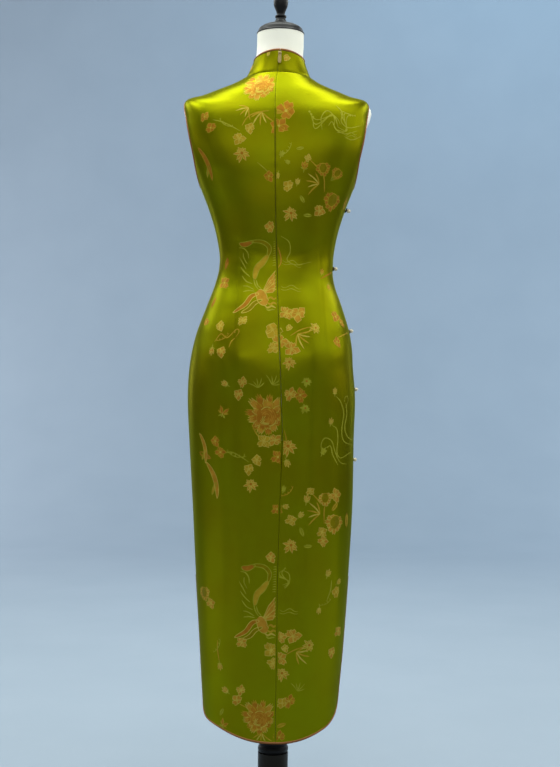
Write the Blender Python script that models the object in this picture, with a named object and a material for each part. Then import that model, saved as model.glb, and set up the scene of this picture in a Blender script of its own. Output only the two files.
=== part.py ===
"""Sleeveless cheongsam worn by a limbless dress form on a turned wooden stand.

Sizes are in millimetres and the meshes in metres. +Z is up, the garment's back faces +Y, its
front -Y, and the wearer's left is +X. The origin is the middle of the base's underside.

The garment is one smooth skin: closed rings at numbered stations, from the neck seam (station
0) down to the hem. A place on it is (station, angle): angle 0 is the centre back, 90 degrees
the wearer's left, 180 the centre front and 270 (or -90) the wearer's right. Cloth is a wall
between the skin and the same points moved out along their normals.
"""

import math
from collections import namedtuple

import bmesh
import bpy
import numpy as np
from mathutils import Matrix, Vector
from mathutils.bvhtree import BVHTree

MM = 0.001
BACK, LEFT, FRONT, RIGHT = (math.radians(a) for a in (0, 90, 180, 270))

# ---------------------------------------------------------------- driving dimensions
WALL = 1.5            # brocade and its lining
SEAM_GAP = 0.3        # between sewn pieces, and under what lies on a panel
BIND_WIDTH = 5.0      # bias binding of armholes, front edge, slits and hem
BIND_PROUD = 2.4      # its height over the skin
PANEL_INSET = 5.45    # from an edge to the panel inside its binding
COLLAR_BIND = 4.0     # binding of the collar's top edge
PIPE_SHOULDER = 0.8   # how far the binding's top edges are rounded

ARMHOLE_BACK = 46.0   # how far each armhole reaches behind the shoulder ridge
ARMHOLE_FRONT = 52.0
ARMHOLE_TOP, ARMHOLE_FOOT = 4.0, 8.0      # stations
SLIT_TOP, HEM = 19.0, 22.0                # stations
SLIT_GAP_AT_HEM = 18.0
SLIT_START = 6.0      # the binding starts this far below the top of the slit
SKIRT_TURN = 10.0     # how far the slits have swung round by the hem, from left to front
CORNER_WIDTH, CORNER_HEIGHT = 57.0, 56.0  # the rounding of the hem's corners

COLLAR_CORNER = 18.0
COLLAR_FRONT_GAP = 1.2
COLLAR_MITER = 0.08   # the share of the collar's height that leans into the neck seam's miter
ZIP_HALF_WIDTH, ZIP_THICK = 4.0, 0.8
ZIP_FOOT = 14         # station

SLIDER_RISE = 0.78    # where on the collar the slider's middle sits
SLIDER_WIDTH, SLIDER_THICK, SLIDER_LENGTH = 6.4, 2.2, 9.0
BAIL_WIDTH, BAIL_REACH, BAIL_HEIGHT, BAIL_BAR = 1.6, 5.6, 3.0, 0.8
BAIL_SINK, BAIL_ROUND = 0.6, 0.7          # its feet's depth in the slider, its corners
PIN_RADIUS, PIN_HEIGHT = 0.6, 1.25
TAB_TOP_WIDTH, TAB_WIDTH, TAB_LENGTH, TAB_THICK = 5.0, 8.0, 21.0, 1.1
TAB_SHOULDER = 0.68   # the share of the tab's length above its rounded end
TAB_HOLE_WIDTH, TAB_HOLE_REACH = 2.8, 3.6

FORM_CLEAR = 3.2      # cloth to form
YOKE_CLEAR = 2.0      # the same over the shoulders and round the neck
FORM_SEAT = 0.7       # the same on the shoulder ridge, which carries the dress
SEAT_WIDTH = 15.0     # how far from the ridge the form falls away to YOKE_CLEAR
FORM_FOOT = 17.0      # station of the form's flat underside
NECK_RADIUS, NECK_FOOT, NECK_TOP = 46.5, 1532.0, 1557.7

PEARL_RADIUS, PEARL_HEIGHT, SHANK_RADIUS = 4.0, 6.6, 1.0
PEARL_FOOT = math.radians(-64)            # where the shank leaves the ball
CORD_RADIUS, EYE_RADIUS = 1.1, 3.4
EYE_TURN = 2.2        # half of the eye's arc, in radians
LEG_START, LEG_LENGTH = 1.5, 26.0         # past the eye
CORD_LIFT = 0.5       # between a loop's cord and what it lies on
CORD_PROBES = (-3.0, -1.5, 0.0, 1.5, 3.0)  # along the cord, where the cloth under it is felt

# How finely the faceted solids follow the skin.
BACK_COLUMNS, FRONT_COLUMNS, SHOULDER_COLUMNS = 8, 16, 8
COLLAR_COLUMNS = 8    # in each quarter of the collar
ARMHOLE_STEPS = 11
SLIT_STEPS, CORNER_STEPS, HEM_STEPS = 4, 4, 14
COLLAR_CORNER_STEPS = 4
EDGE_SAMPLES = 41
FORM_COLUMNS = 8      # in each quarter of a ring
PEARL_SIDES, PEARL_RINGS, CORD_SIDES, EYE_STEPS, LEG_STEPS = 10, 6, 5, 6, 5
BASE_STEPS, TURN_STEPS, FINIAL_STEPS = 40, 28, 20
NECK_START = 0.006    # the station that leaves half a seam gap at the neck
BODY_STATIONS = [8.5, 9, 9.5, 10, 10.5, 11, 11.5, 12, 12.5, 13, 13.5, 14, 14.7, 15.4, 16.2, 17,
                 17.7, 18.4]

# A ring's side points lie on the shoulder ridge or the side seam. back and front are its
# depths behind and before them, with a height of their own, reached as the depth to the power
# drop. square is the superellipse's exponent, seam_x is where the back seam crosses it, and
# lean, an angle, moves the lowest point round from the middle towards the wearer's right.
Ring = namedtuple(
    "Ring", "name side_z half centre back back_z front front_z square drop seam_x lean",
    defaults=(0.0,),
)
RINGS = [
    Ring("neck seam", 1468, 63.5, 3.2, 57, 1470, 62, 1430, 2.0, 2, 5.0),
    Ring("yoke inner", 1454.5, 87.5, 5.0, 69, 1449, 73, 1401, 2.0, 2, 7.5),
    Ring("yoke middle", 1442.5, 116.5, 6.0, 79, 1430, 82, 1377, 2.1, 2, 8.5),
    Ring("yoke outer", 1430, 148.5, 6.5, 87, 1409, 90, 1353, 2.2, 2, 9.0),
    Ring("shoulder tip", 1419, 180.0, 6.5, 93, 1386, 97, 1328, 2.5, 2, 9.0),
    Ring("upper armhole", 1385, 180.0, 6.0, 97, 1354, 104, 1303, 2.9, 2, 8.5),
    Ring("mid armhole", 1340, 176.0, 5.0, 99, 1320, 110, 1282, 3.0, 2, 8.0),
    Ring("lower armhole", 1295, 166.0, 5.0, 98, 1286, 114, 1266, 2.8, 2, 7.5),
    Ring("armpit", 1253, 152.5, 4.0, 95, 1253, 116, 1253, 2.5, 2, 7.0),
    Ring("bust", 1205, 134.3, 3.5, 90, 1205, 112, 1205, 2.3, 2, 6.0),
    Ring("under bust", 1155, 119.3, 3.3, 82, 1155, 98, 1155, 2.2, 2, 4.5),
    Ring("waist", 1103, 111.6, 3.5, 75, 1103, 90, 1103, 2.1, 2, 2.5),
    Ring("upper hip", 1060, 116.8, 6.0, 82, 1060, 92, 1060, 2.1, 2, 1.0),
    Ring("high hip", 1010, 134.5, 6.5, 98, 1010, 97, 1010, 2.15, 2, -0.5),
    Ring("seat top", 955, 152.3, 8.5, 113, 955, 101, 955, 2.2, 2, -3.0),
    Ring("seat", 895, 161.2, 11.5, 121, 895, 102, 895, 2.2, 2, -6.0),
    Ring("low hip", 830, 165.5, 10.5, 118, 830, 101, 830, 2.25, 2, -9.0),
    Ring("thigh", 750, 162.7, 9.5, 113, 750, 99, 750, 2.3, 2, -11.5),
    Ring("knee", 620, 158.0, 6.0, 109, 620, 97, 620, 2.3, 2, -8.0),
    Ring("slit top", 483, 150.8, 5.5, 105, 483, 95, 483, 2.3, 2, -5.5),
    Ring("calf", 360, 142.5, 5.5, 102, 360, 92, 360, 2.3, 2.4, -5.5, 0.02),
    Ring("above hem", 272, 136.3, 6.3, 100, 266, 90, 266, 2.3, 2.8, -4.5, 0.05),
    Ring("hem", 200, 131.0, 6.5, 99, 165.6, 88, 168.8, 2.3, 3.2, -4.5, 0.07),
]
COLLAR_TOP = Ring("collar top", 1506, 48.4, 1.8, 50, 1517, 50, 1470, 2.0, 2, 0.0)

# Soft mounds on the rings, bust and seat: each one's place, height and two spreads.
Rise = namedtuple("Rise", "angle z amount angle_spread z_spread")
RISES = [
    Rise(math.radians(180 - 40), 1212, 15.0, math.radians(21), 42.0),
    Rise(math.radians(180 + 40), 1212, 15.0, math.radians(21), 42.0),
    Rise(math.radians(34), 905, 3.5, math.radians(22), 60.0),
    Rise(math.radians(326), 905, 3.5, math.radians(22), 60.0),
]

# The front's bound edge runs from the centre front of the neck to the right armhole.
FrontEdge = namedtuple("FrontEdge", "station out")
FRONT_EDGE = [
    FrontEdge(0, 0.0), FrontEdge(1, 3.0), FrontEdge(2, 11.0), FrontEdge(3, 29.0),
    FrontEdge(4, 61.0), FrontEdge(5, 99.0), FrontEdge(6, 131.0), FrontEdge(7, 151.0),
    FrontEdge(8, 166.0),
]

# The fastenings: on the right side at these heights, set forward of the seam, and two on the
# front's edge, at these stations.
Fastening = namedtuple("Fastening", "z forward")
SIDE_FASTENINGS = [
    Fastening(1209, 2.0), Fastening(1091, 8.0), Fastening(965, 14.0),
    Fastening(849, 21.0), Fastening(708, 21.0),
]
FRONT_FASTENINGS = (0.6, 4.3)

# How far the form's shoulder ends stand out of the armholes.
Bulge = namedtuple("Bulge", "station out")
ARM_BULGE = [
    Bulge(4.0, 0.0), Bulge(4.2, 2.6), Bulge(4.5, 5.6), Bulge(5.0, 5.0), Bulge(5.6, -1.0),
    Bulge(6.0, -4.0), Bulge(7.0, -3.0), Bulge(8.0, 0.0),
]

# Turned pieces, from the foot up: z is the height over the piece's own foot.
Turn = namedtuple("Turn", "radius z")
BASE_TURNS = [
    Turn(188, 0), Turn(190, 2), Turn(190, 15), Turn(188.2, 19), Turn(184, 21), Turn(175, 25),
]
COLUMN_TURNS = [
    Turn(44, 0), Turn(44, 4), Turn(40, 9), Turn(33, 13), Turn(30, 20), Turn(30, 98.7),
]
RING_TURNS = [
    Turn(26.5, 0), Turn(29.2, 2), Turn(30.2, 6), Turn(30.2, 9), Turn(28.6, 13), Turn(27.6, 15),
    Turn(29.4, 18), Turn(29.6, 21), Turn(27.6, 25), Turn(24, 27.7),
]
POLE_RADIUS = 19.0
CAP_TURNS = [
    Turn(47, 0), Turn(47.6, 1.5), Turn(46.2, 3.5), Turn(43.3, 10.1), Turn(39.3, 13.5),
    Turn(33.7, 16.6), Turn(26.8, 19.1), Turn(18.8, 21),
]
FINIAL_TURNS = [
    Turn(16, 0), Turn(16, 1.5), Turn(12.5, 4), Turn(10.2, 8), Turn(9.6, 11), Turn(11.2, 12.5),
    Turn(11.2, 15.5), Turn(8.6, 17), Turn(8.2, 20), Turn(10.4, 27), Turn(13.4, 34),
    Turn(14.6, 42), Turn(14, 50), Turn(11.6, 57), Turn(7.4, 62), Turn(3, 64),
]


# ---------------------------------------------------------------- the skin
def column(name, station):
    """A ring column between its rows, on a smooth curve through them."""
    values = np.array([getattr(ring, name) for ring in RINGS], float)
    station = np.clip(np.asarray(station, float), 0, len(values) - 1)
    low = np.minimum(station.astype(int), len(values) - 2)
    part = station - low
    slopes = np.gradient(values)
    start, end = values[low], values[low + 1]
    return (
        start * (1 + 2 * part) * (1 - part) ** 2
        + slopes[low] * part * (1 - part) ** 2
        + end * part**2 * (3 - 2 * part)
        + slopes[low + 1] * part**2 * (part - 1)
    )


def superellipse(ring, angle):
    """Points of a ring whose columns are numbers or arrays."""
    sine, cosine = np.sin(angle), np.cos(angle)
    power = 2.0 / ring["square"]
    behind = cosine >= 0
    reach = np.abs(cosine) ** power
    depth = np.where(behind, ring["back"], ring["front"])
    end_z = np.where(behind, ring["back_z"], ring["front_z"])
    x = ring["centre"] + ring["half"] * np.sign(sine) * np.abs(sine) ** power
    y = np.where(behind, 1, -1) * depth * reach
    fall = np.abs(np.cos(angle + ring["lean"])) ** power
    z = ring["side_z"] + (end_z - ring["side_z"]) * fall ** ring["drop"]
    return np.stack(np.broadcast_arrays(x, y, z), axis=-1)


def skin(station, angle):
    """Points of the cloth's inner face."""
    station, angle = np.broadcast_arrays(np.asarray(station, float), np.asarray(angle, float))
    ring = {name: column(name, station) for name in Ring._fields[1:]}
    points = superellipse(ring, angle)
    for rise in RISES:
        turn = (angle - rise.angle + math.pi) % (2 * math.pi) - math.pi
        share = np.exp(-((turn / rise.angle_spread) ** 2))
        share = share * np.exp(-(((points[..., 2] - rise.z) / rise.z_spread) ** 2))
        out = rise.amount * share
        points[..., 0] += out * math.sin(rise.angle)
        points[..., 1] += out * math.cos(rise.angle)
    return points


def tangents(station, angle, step=1e-3):
    """The skin's two directions, per station and per radian."""
    down = (skin(station + step, angle) - skin(station - step, angle)) / (2 * step)
    at_top = np.asarray(station) <= step
    if np.any(at_top):
        one_sided = (skin(station + step, angle) - skin(station, angle)) / step
        down = np.where(np.broadcast_to(at_top, down.shape[:-1])[..., None], one_sided, down)
    round_it = (skin(station, angle + step) - skin(station, angle - step)) / (2 * step)
    return down, round_it


def unit(vectors):
    return vectors / np.linalg.norm(vectors, axis=-1, keepdims=True)


def normals(station, angle):
    down, round_it = tangents(np.asarray(station, float), np.asarray(angle, float))
    return unit(np.cross(round_it, down))


def lifted(station, angle, height):
    """Points of the skin moved out by a height."""
    height = np.asarray(height, float)[..., None]
    return skin(station, angle) + height * normals(station, angle)


ARC_ANGLES = np.linspace(-math.pi, 2 * math.pi, 1081)


def arc_table(station):
    """Lengths along a station's ring from the centre back, at ARC_ANGLES."""
    points = skin(station, ARC_ANGLES)
    steps = np.linalg.norm(np.diff(points, axis=0), axis=1)
    lengths = np.concatenate([[0.0], np.cumsum(steps)])
    return lengths - np.interp(0.0, ARC_ANGLES, lengths)


def shifted(station, angle, distance):
    """The angle that lies a distance further round the ring."""
    lengths = arc_table(station)
    place = np.interp(angle, ARC_ANGLES, lengths) + distance
    return np.interp(place, lengths, ARC_ANGLES)


def spread_angles(station, first, last, count):
    """count + 1 angles, halfway between equal lengths and equal angles, closer at the sides."""
    lengths = arc_table(station)
    ends = np.interp([first, last], ARC_ANGLES, lengths)
    by_length = np.interp(np.linspace(*ends, count + 1), lengths, ARC_ANGLES)
    return (by_length + np.linspace(first, last, count + 1)) / 2


def angle_at_x(station, x, behind=True):
    """The angle where a ring's back or front half crosses x."""
    ring = {name: column(name, station) for name in ("half", "centre", "square")}
    share = (x - ring["centre"]) / ring["half"]
    sine = np.sign(share) * np.abs(share) ** (ring["square"] / 2)
    turn = np.arcsin(np.clip(sine, -1, 1))
    return turn if behind else math.pi - turn


def back_seam(station):
    return angle_at_x(station, column("seam_x", station))


def stations_at(height):
    """The station whose side point has this height."""
    stations = np.linspace(0, HEM, 2201)
    heights = column("side_z", stations)
    return float(np.interp(-height, -heights, stations))


# ---------------------------------------------------------------- edges on the skin
def armhole_span(inset):
    """First and last station of an armhole that is this much larger all round."""
    ridge = np.linalg.norm(skin(ARMHOLE_TOP, LEFT) - skin(ARMHOLE_TOP - 1, LEFT))
    side = np.linalg.norm(skin(ARMHOLE_FOOT + 1, LEFT) - skin(ARMHOLE_FOOT, LEFT))
    return ARMHOLE_TOP - inset / ridge, ARMHOLE_FOOT + inset / side


def armhole_turn(station, inset, reach, depth_name):
    """How far an armhole's edge lies from the side line, as an angle."""
    top, foot = armhole_span(inset)
    share = np.clip((station - top) / (foot - top), 0, 1)
    depth = (reach + inset) * np.sin(math.pi * share**1.2) ** 0.7
    ratio = depth / column(depth_name, station)
    return np.arcsin(np.clip(ratio ** (column("square", station) / 2), 0, 1))


def armhole_angle(station, inset, side, face):
    """The angle of an armhole's edge. side is LEFT or RIGHT, and face BACK or FRONT."""
    if face == BACK:
        turn = armhole_turn(station, inset, ARMHOLE_BACK, "back")
        return side - turn if side == LEFT else side + turn
    turn = armhole_turn(station, inset, ARMHOLE_FRONT, "front")
    return side + turn if side == LEFT else side - turn


def armhole_stations(inset):
    """Stations down an armhole, close together at its two ends."""
    top, foot = armhole_span(inset)
    turn = np.linspace(0, math.pi, ARMHOLE_STEPS + 1)
    return top + (foot - top) * (1 - np.cos(turn)) / 2


def front_edge(inset):
    """Stations and angles of the front's edge, moved onto the front panel by inset."""
    rows = np.array(FRONT_EDGE, float)
    stations = np.linspace(0, rows[-1, 0], EDGE_SAMPLES)
    slopes = np.gradient(rows[:, 1])
    low = np.minimum(stations.astype(int), len(rows) - 2)
    part = stations - low
    out = (
        rows[low, 1] * (1 + 2 * part) * (1 - part) ** 2
        + slopes[low] * part * (1 - part) ** 2
        + rows[low + 1, 1] * part**2 * (3 - 2 * part)
        + slopes[low + 1] * part**2 * (part - 1)
    )
    share = np.clip(out / column("half", stations), 0, 1)
    angles = math.pi + np.arcsin(share ** (column("square", stations) / 2))
    return moved_aside(stations, angles, inset)


def moved_aside(stations, angles, distance):
    """A line on the skin moved sideways, towards smaller angles for a line that runs down."""
    points = skin(stations, angles)
    along = unit(np.gradient(points, axis=0))
    aside = np.cross(normals(stations, angles), along)
    down, round_it = tangents(stations, angles)
    moved = []
    for a, b, want in zip(down, round_it, aside * distance):
        change = np.linalg.lstsq(np.stack([a, b], axis=1), want, rcond=None)[0]
        moved.append(change)
    moved = np.array(moved)
    return np.maximum(stations + moved[:, 0], 0.0), angles + moved[:, 1]


def front_edge_angle(station, inset):
    stations, angles = front_edge(inset)
    return np.interp(station, stations, angles)


def hem_station(height):
    """The station this far above the hem."""
    return HEM - height / (column("back_z", HEM - 1) - column("back_z", HEM))


def slit_opened(station):
    """From 0 at the top of the slits to 1 at the hem."""
    return np.clip((station - SLIT_TOP) / (HEM - SLIT_TOP), 0, 1)


def slit_half_gap(station):
    return SEAM_GAP / 2 + slit_opened(station) * (SLIT_GAP_AT_HEM - SEAM_GAP) / 2


def slit_edge(station, side, aside):
    """The angle at a distance aside from the middle of a slit."""
    return shifted(station, side, SKIRT_TURN * slit_opened(station) + aside)


def slit_first():
    """The station where a slit's binding starts."""
    return SLIT_TOP + SLIT_START / (column("side_z", SLIT_TOP) - column("side_z", SLIT_TOP + 1))


def slit_rows(inset):
    """(station, distance from the side line) down a slit's edge and round its corner."""
    rows = []
    for station in np.linspace(slit_first(), hem_station(CORNER_HEIGHT), SLIT_STEPS + 1)[:-1]:
        rows.append((station, slit_half_gap(station) + inset))
    for turn in np.linspace(0, math.pi / 2, CORNER_STEPS + 1):
        station = hem_station(CORNER_HEIGHT - (CORNER_HEIGHT - inset) * math.sin(turn))
        aside = CORNER_WIDTH - (CORNER_WIDTH - inset) * math.cos(turn)
        rows.append((station, slit_half_gap(station) + aside))
    return rows


# ---------------------------------------------------------------- the collar
def collar(rise, angle):
    """Points of the collar's inner face: rise 0 is the neck seam and 1 the top edge."""
    rise, angle = np.broadcast_arrays(np.asarray(rise, float), np.asarray(angle, float))
    foot = skin(np.zeros_like(rise), angle)
    top = superellipse(COLLAR_TOP._asdict(), angle)
    return foot + (top - foot) * rise[..., None]


def collar_normals(rise, angle, step=1e-3):
    up = collar(rise + step, angle) - collar(rise - step, angle)
    round_it = collar(rise, angle + step) - collar(rise, angle - step)
    return unit(np.cross(up, round_it))


def neck_miter(angle):
    """The direction, and its length, that moves the neck seam out on both of its sides."""
    yoke = normals(np.zeros_like(angle), angle)
    band = collar_normals(np.zeros_like(angle), angle)
    shared = np.sum(yoke * band, axis=-1, keepdims=True)
    return (yoke + band) / (1 + shared)


def collar_out(rise, angle, height):
    """The collar's points moved out; at its foot they follow the neck seam's miter."""
    rise, angle = np.broadcast_arrays(np.asarray(rise, float), np.asarray(angle, float))
    out = collar_normals(rise, angle)
    foot = np.clip(1 - rise / COLLAR_MITER, 0, 1)[..., None]
    out = out * (1 - foot) + neck_miter(angle) * foot
    return collar(rise, angle) + np.asarray(height, float)[..., None] * out


def collar_seam(rise):
    """The angle of the centre back edge, from the neck seam to the top."""
    foot = back_seam(0.0)
    top = math.asin((COLLAR_TOP.seam_x - COLLAR_TOP.centre) / COLLAR_TOP.half)
    return foot + (top - foot) * rise


def collar_angle(rise, distance, start):
    """The angle at a distance round the collar from start."""
    angles = np.linspace(start - 0.6, start + 0.6, 241)
    points = collar(rise, angles)
    lengths = np.concatenate([[0], np.cumsum(np.linalg.norm(np.diff(points, axis=0), axis=1))])
    place = np.interp(start, angles, lengths) + distance
    return float(np.interp(place, lengths, angles))


def collar_height():
    """The collar's height at the centre front, along its face."""
    return float(np.linalg.norm(collar(1.0, FRONT) - collar(0.0, FRONT)))


def collar_front_rows(inset):
    """(rise, distance from the centre front) up the collar's front edge and round its corner."""
    height = collar_height()
    foot = 1.5 * SEAM_GAP / height
    rows = [(foot, COLLAR_FRONT_GAP + inset), (0.3, COLLAR_FRONT_GAP + inset)]
    for turn in np.linspace(0, math.pi / 2, COLLAR_CORNER_STEPS + 1):
        above = COLLAR_CORNER - (COLLAR_CORNER - inset) * math.sin(turn)
        aside = COLLAR_CORNER - (COLLAR_CORNER - inset) * math.cos(turn)
        rows.append((1 - above / height, COLLAR_FRONT_GAP + aside))
    return rows


# ---------------------------------------------------------------- making solids
def material(name, colour, roughness, metallic=0.0):
    made = bpy.data.materials.new(name)
    made.use_nodes = True
    shader = made.node_tree.nodes["Principled BSDF"]
    shader.inputs["Base Color"].default_value = (*colour, 1.0)
    shader.inputs["Roughness"].default_value = roughness
    shader.inputs["Metallic"].default_value = metallic
    made.diffuse_color = (*colour, 1.0)
    return made


def add_object(name, points, faces, finish, smooth=True):
    """A closed solid from points in millimetres. Its faces are turned outwards."""
    mesh = bpy.data.meshes.new(name)
    points = np.asarray(points, float) * MM
    mesh.from_pydata([tuple(p) for p in points], [], [tuple(int(i) for i in f) for f in faces])
    work = bmesh.new()
    work.from_mesh(mesh)
    bmesh.ops.recalc_face_normals(work, faces=work.faces)
    work.to_mesh(mesh)
    work.free()
    mesh.materials.append(finish)
    if smooth:
        mesh.shade_smooth()
        mesh.set_sharp_from_angle(angle=math.radians(40))
    made = bpy.data.objects.new(name, mesh)
    bpy.context.scene.collection.objects.link(made)
    return made


def grid_faces(rows, columns, first=0):
    """Quads of a grid of points, rows by columns."""
    corner = np.arange(rows * columns).reshape(rows, columns) + first
    quads = np.stack([corner[:-1, :-1], corner[:-1, 1:], corner[1:, 1:], corner[1:, :-1]], -1)
    return quads.reshape(-1, 4).tolist()


def wall_between(name, inner, outer, finish):
    """A closed wall between two grids of points of the same shape."""
    rows, columns = inner.shape[:2]
    count = rows * columns
    index = np.arange(count).reshape(rows, columns)
    border = np.concatenate(
        [index[0, :-1], index[:-1, -1], index[-1, :0:-1], index[:0:-1, 0]]
    ).tolist()
    faces = grid_faces(rows, columns)
    faces += [face[::-1] for face in grid_faces(rows, columns, count)]
    for i, j in zip(border, border[1:] + border[:1]):
        faces.append((i, j, j + count, i + count))
    points = np.concatenate([inner.reshape(-1, 3), outer.reshape(-1, 3)])
    return add_object(name, points, faces, finish)


def tube_faces(rings, sides, closed):
    """Faces of a tube of rings; an open one is capped."""
    faces = []
    for i in range(rings if closed else rings - 1):
        here, there = i * sides, (i + 1) % rings * sides
        for j in range(sides):
            k = (j + 1) % sides
            faces.append((here + j, here + k, there + k, there + j))
    if not closed:
        faces.append(tuple(range(sides)))
        faces.append(tuple(range((rings - 1) * sides, rings * sides))[::-1])
    return faces


def turned(name, turns, foot, finish, steps=TURN_STEPS):
    """A solid turned about Z over its foot, with flat ends. Gives the height of its top."""
    angles = np.linspace(0, 2 * math.pi, steps, endpoint=False)
    rings = [
        np.stack([turn.radius * np.cos(angles), turn.radius * np.sin(angles),
                  np.full(steps, foot + turn.z)], axis=1)
        for turn in turns
    ]
    add_object(name, np.concatenate(rings), tube_faces(len(turns), steps, closed=False), finish)
    return foot + turns[-1].z


def prism(name, outline, half, normal, finish):
    """A straight piece from a flat outline; normal is the index of the axis it runs along."""
    count = len(outline)
    points = np.concatenate([np.insert(np.array(outline), normal, d, axis=1) for d in (-half, half)])
    faces = [tuple(range(count)), tuple(range(2 * count - 1, count - 1, -1))]
    faces += [(i, (i + 1) % count, (i + 1) % count + count, i + count) for i in range(count)]
    return add_object(name, points, faces, finish, smooth=False)


def joined(body, tool, operation):
    """Adds or cuts a hidden tool, by a Boolean."""
    tool.hide_render = True
    tool.display_type = "WIRE"
    step = body.modifiers.new("Join", "BOOLEAN")
    step.operation = operation
    step.object = tool


# ---------------------------------------------------------------- panels
def panel(name, rows, columns, finish):
    """A cloth wall. Each row is (station, first angle, last angle)."""
    inner, outer = [], []
    for station, first, last in rows:
        angles = spread_angles(station, first, last, columns)
        inner.append(skin(station, angles))
        outer.append(lifted(station, angles, np.full(columns + 1, WALL)))
    station, first, last = rows[0]
    if station < 0.1:
        angles = spread_angles(station, first, last, columns)
        outer[0] = inner[0] + WALL * neck_miter(angles)
    return wall_between(name, np.array(inner), np.array(outer), finish)


def body_stations(inset):
    """The rows that the garment's panels share, from the neck to the top of the slits."""
    yoke = [NECK_START, 1.0, 2.0, 3.0]
    return yoke + list(armhole_stations(inset)) + BODY_STATIONS + [SLIT_TOP]


def side_edge(station, side, face):
    """The angle of a panel's edge on the shoulder ridge, armhole or side seam."""
    inset = PANEL_INSET
    top, foot = armhole_span(inset)
    away = SEAM_GAP / 2 if (side == LEFT) == (face == FRONT) else -SEAM_GAP / 2
    seam = shifted(station, side, away)
    if not top < station < foot:
        return seam
    edge = armhole_angle(station, inset, side, face)
    if (side == LEFT) == (face == FRONT):
        return max(edge, seam)
    return min(edge, seam)


def back_rows(side):
    """The rows of a back half, from the centre back seam to the side."""
    half_turn = side - 2 * math.pi if side == RIGHT else side
    towards_back = 1 if side == RIGHT else -1
    inset = PANEL_INSET
    rows = []
    for station in body_stations(inset):
        seam = shifted(station, back_seam(station), -towards_back * SEAM_GAP / 2)
        edge = side_edge(station, side, BACK) - (side - half_turn)
        rows.append((station, seam, edge))
    for station, aside in slit_rows(inset):
        seam = shifted(station, back_seam(station), -towards_back * SEAM_GAP / 2)
        edge = slit_edge(station, half_turn, towards_back * aside)
        rows.append((station, seam, edge))
    return rows


def front_panel(name, finish):
    """The front, from the left side to the bound edge and, below it, the right side."""
    inset = PANEL_INSET
    rows = []
    for station in body_stations(inset):
        edge = side_edge(station, RIGHT, FRONT)
        if station < FRONT_EDGE[-1].station:
            edge = min(edge, float(front_edge_angle(station, inset)))
        rows.append((station, side_edge(station, LEFT, FRONT), edge))
    for station, aside in slit_rows(inset):
        rows.append((station, slit_edge(station, LEFT, aside), slit_edge(station, RIGHT, -aside)))
    return panel(name, rows, FRONT_COLUMNS, finish)


def shoulder_panel(name, finish):
    """The right shoulder piece, which the front's bound edge crosses to reach the armhole."""
    inset = PANEL_INSET
    rows = []
    for station in body_stations(inset):
        first = float(front_edge_angle(station, -SEAM_GAP))
        last = side_edge(station, RIGHT, FRONT)
        width = np.diff(np.interp([first, last], ARC_ANGLES, arc_table(station)))[0]
        if station > ARMHOLE_FOOT or width < BIND_WIDTH:
            break
        rows.append((station, first, last))
    return panel(name, rows, SHOULDER_COLUMNS, finish)


def collar_columns(rise, aside, side):
    """The angles across a collar half, from the centre back to its front edge."""
    sign = 1 if side == LEFT else -1
    first = collar_angle(rise, sign * SEAM_GAP / 2, collar_seam(rise))
    front = collar_angle(rise, -sign * aside, sign * FRONT)
    middle = sign * LEFT
    back_part = np.linspace(first, middle, COLLAR_COLUMNS, endpoint=False)
    return np.concatenate([back_part, np.linspace(middle, front, COLLAR_COLUMNS + 1)])


def collar_half(name, side, finish):
    """A collar half, from the centre back to its rounded front corner."""
    inner, outer = [], []
    for rise, aside in collar_front_rows(COLLAR_BIND + SEAM_GAP):
        angles = collar_columns(rise, aside, side)
        inner.append(collar(rise, angles))
        outer.append(collar_out(rise, angles, np.full(len(angles), WALL)))
    return wall_between(name, np.array(inner), np.array(outer), finish)


# ---------------------------------------------------------------- bindings
def binding_profile(width):
    """(inset, height) round a binding's section, from the cloth's edge inwards."""
    low = BIND_PROUD - PIPE_SHOULDER
    return [(0, 0), (0, low), (PIPE_SHOULDER * 1.5, BIND_PROUD),
            (width - PIPE_SHOULDER * 1.5, BIND_PROUD), (width, low), (width, 0)]


def binding(name, sections, finish, closed=False):
    """A binding from its sections, each the points of binding_profile."""
    faces = tube_faces(len(sections), len(sections[0]), closed)
    return add_object(name, np.concatenate(sections), faces, finish)


def armhole_binding(name, side, finish):
    """The closed band round an armhole: down its back edge and up its front edge."""
    sections = []
    for face, steps in ((BACK, range(ARMHOLE_STEPS)), (FRONT, range(ARMHOLE_STEPS, 0, -1))):
        for step in steps:
            section = []
            for inset, height in binding_profile(BIND_WIDTH):
                station = armhole_stations(inset)[step]
                angle = armhole_angle(station, inset, side, face)
                section.append(lifted(station, angle, height))
            sections.append(np.array(section))
    return binding(name, sections, finish, closed=True)


def hem_binding(name, face, finish):
    """The band down one slit, along the hem and up the other slit."""
    sections = []
    first_side, last_side = (LEFT, RIGHT) if face == FRONT else (LEFT, RIGHT - 2 * math.pi)
    towards_middle = 1 if face == FRONT else -1
    profile = binding_profile(BIND_WIDTH)
    rows = [slit_rows(inset) for inset, _ in profile]
    count = len(rows[0])
    for side, sign, order in (
        (first_side, towards_middle, range(count)),
        (last_side, -towards_middle, range(count - 1, -1, -1)),
    ):
        if side == last_side:
            sections += hem_sections(profile, first_side, last_side, towards_middle)
        for step in order:
            section = []
            for (_, height), line in zip(profile, rows):
                station, aside = line[step]
                angle = slit_edge(station, side, sign * aside)
                section.append(lifted(station, angle, height))
            sections.append(np.array(section))
    return binding(name, sections, finish)


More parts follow.
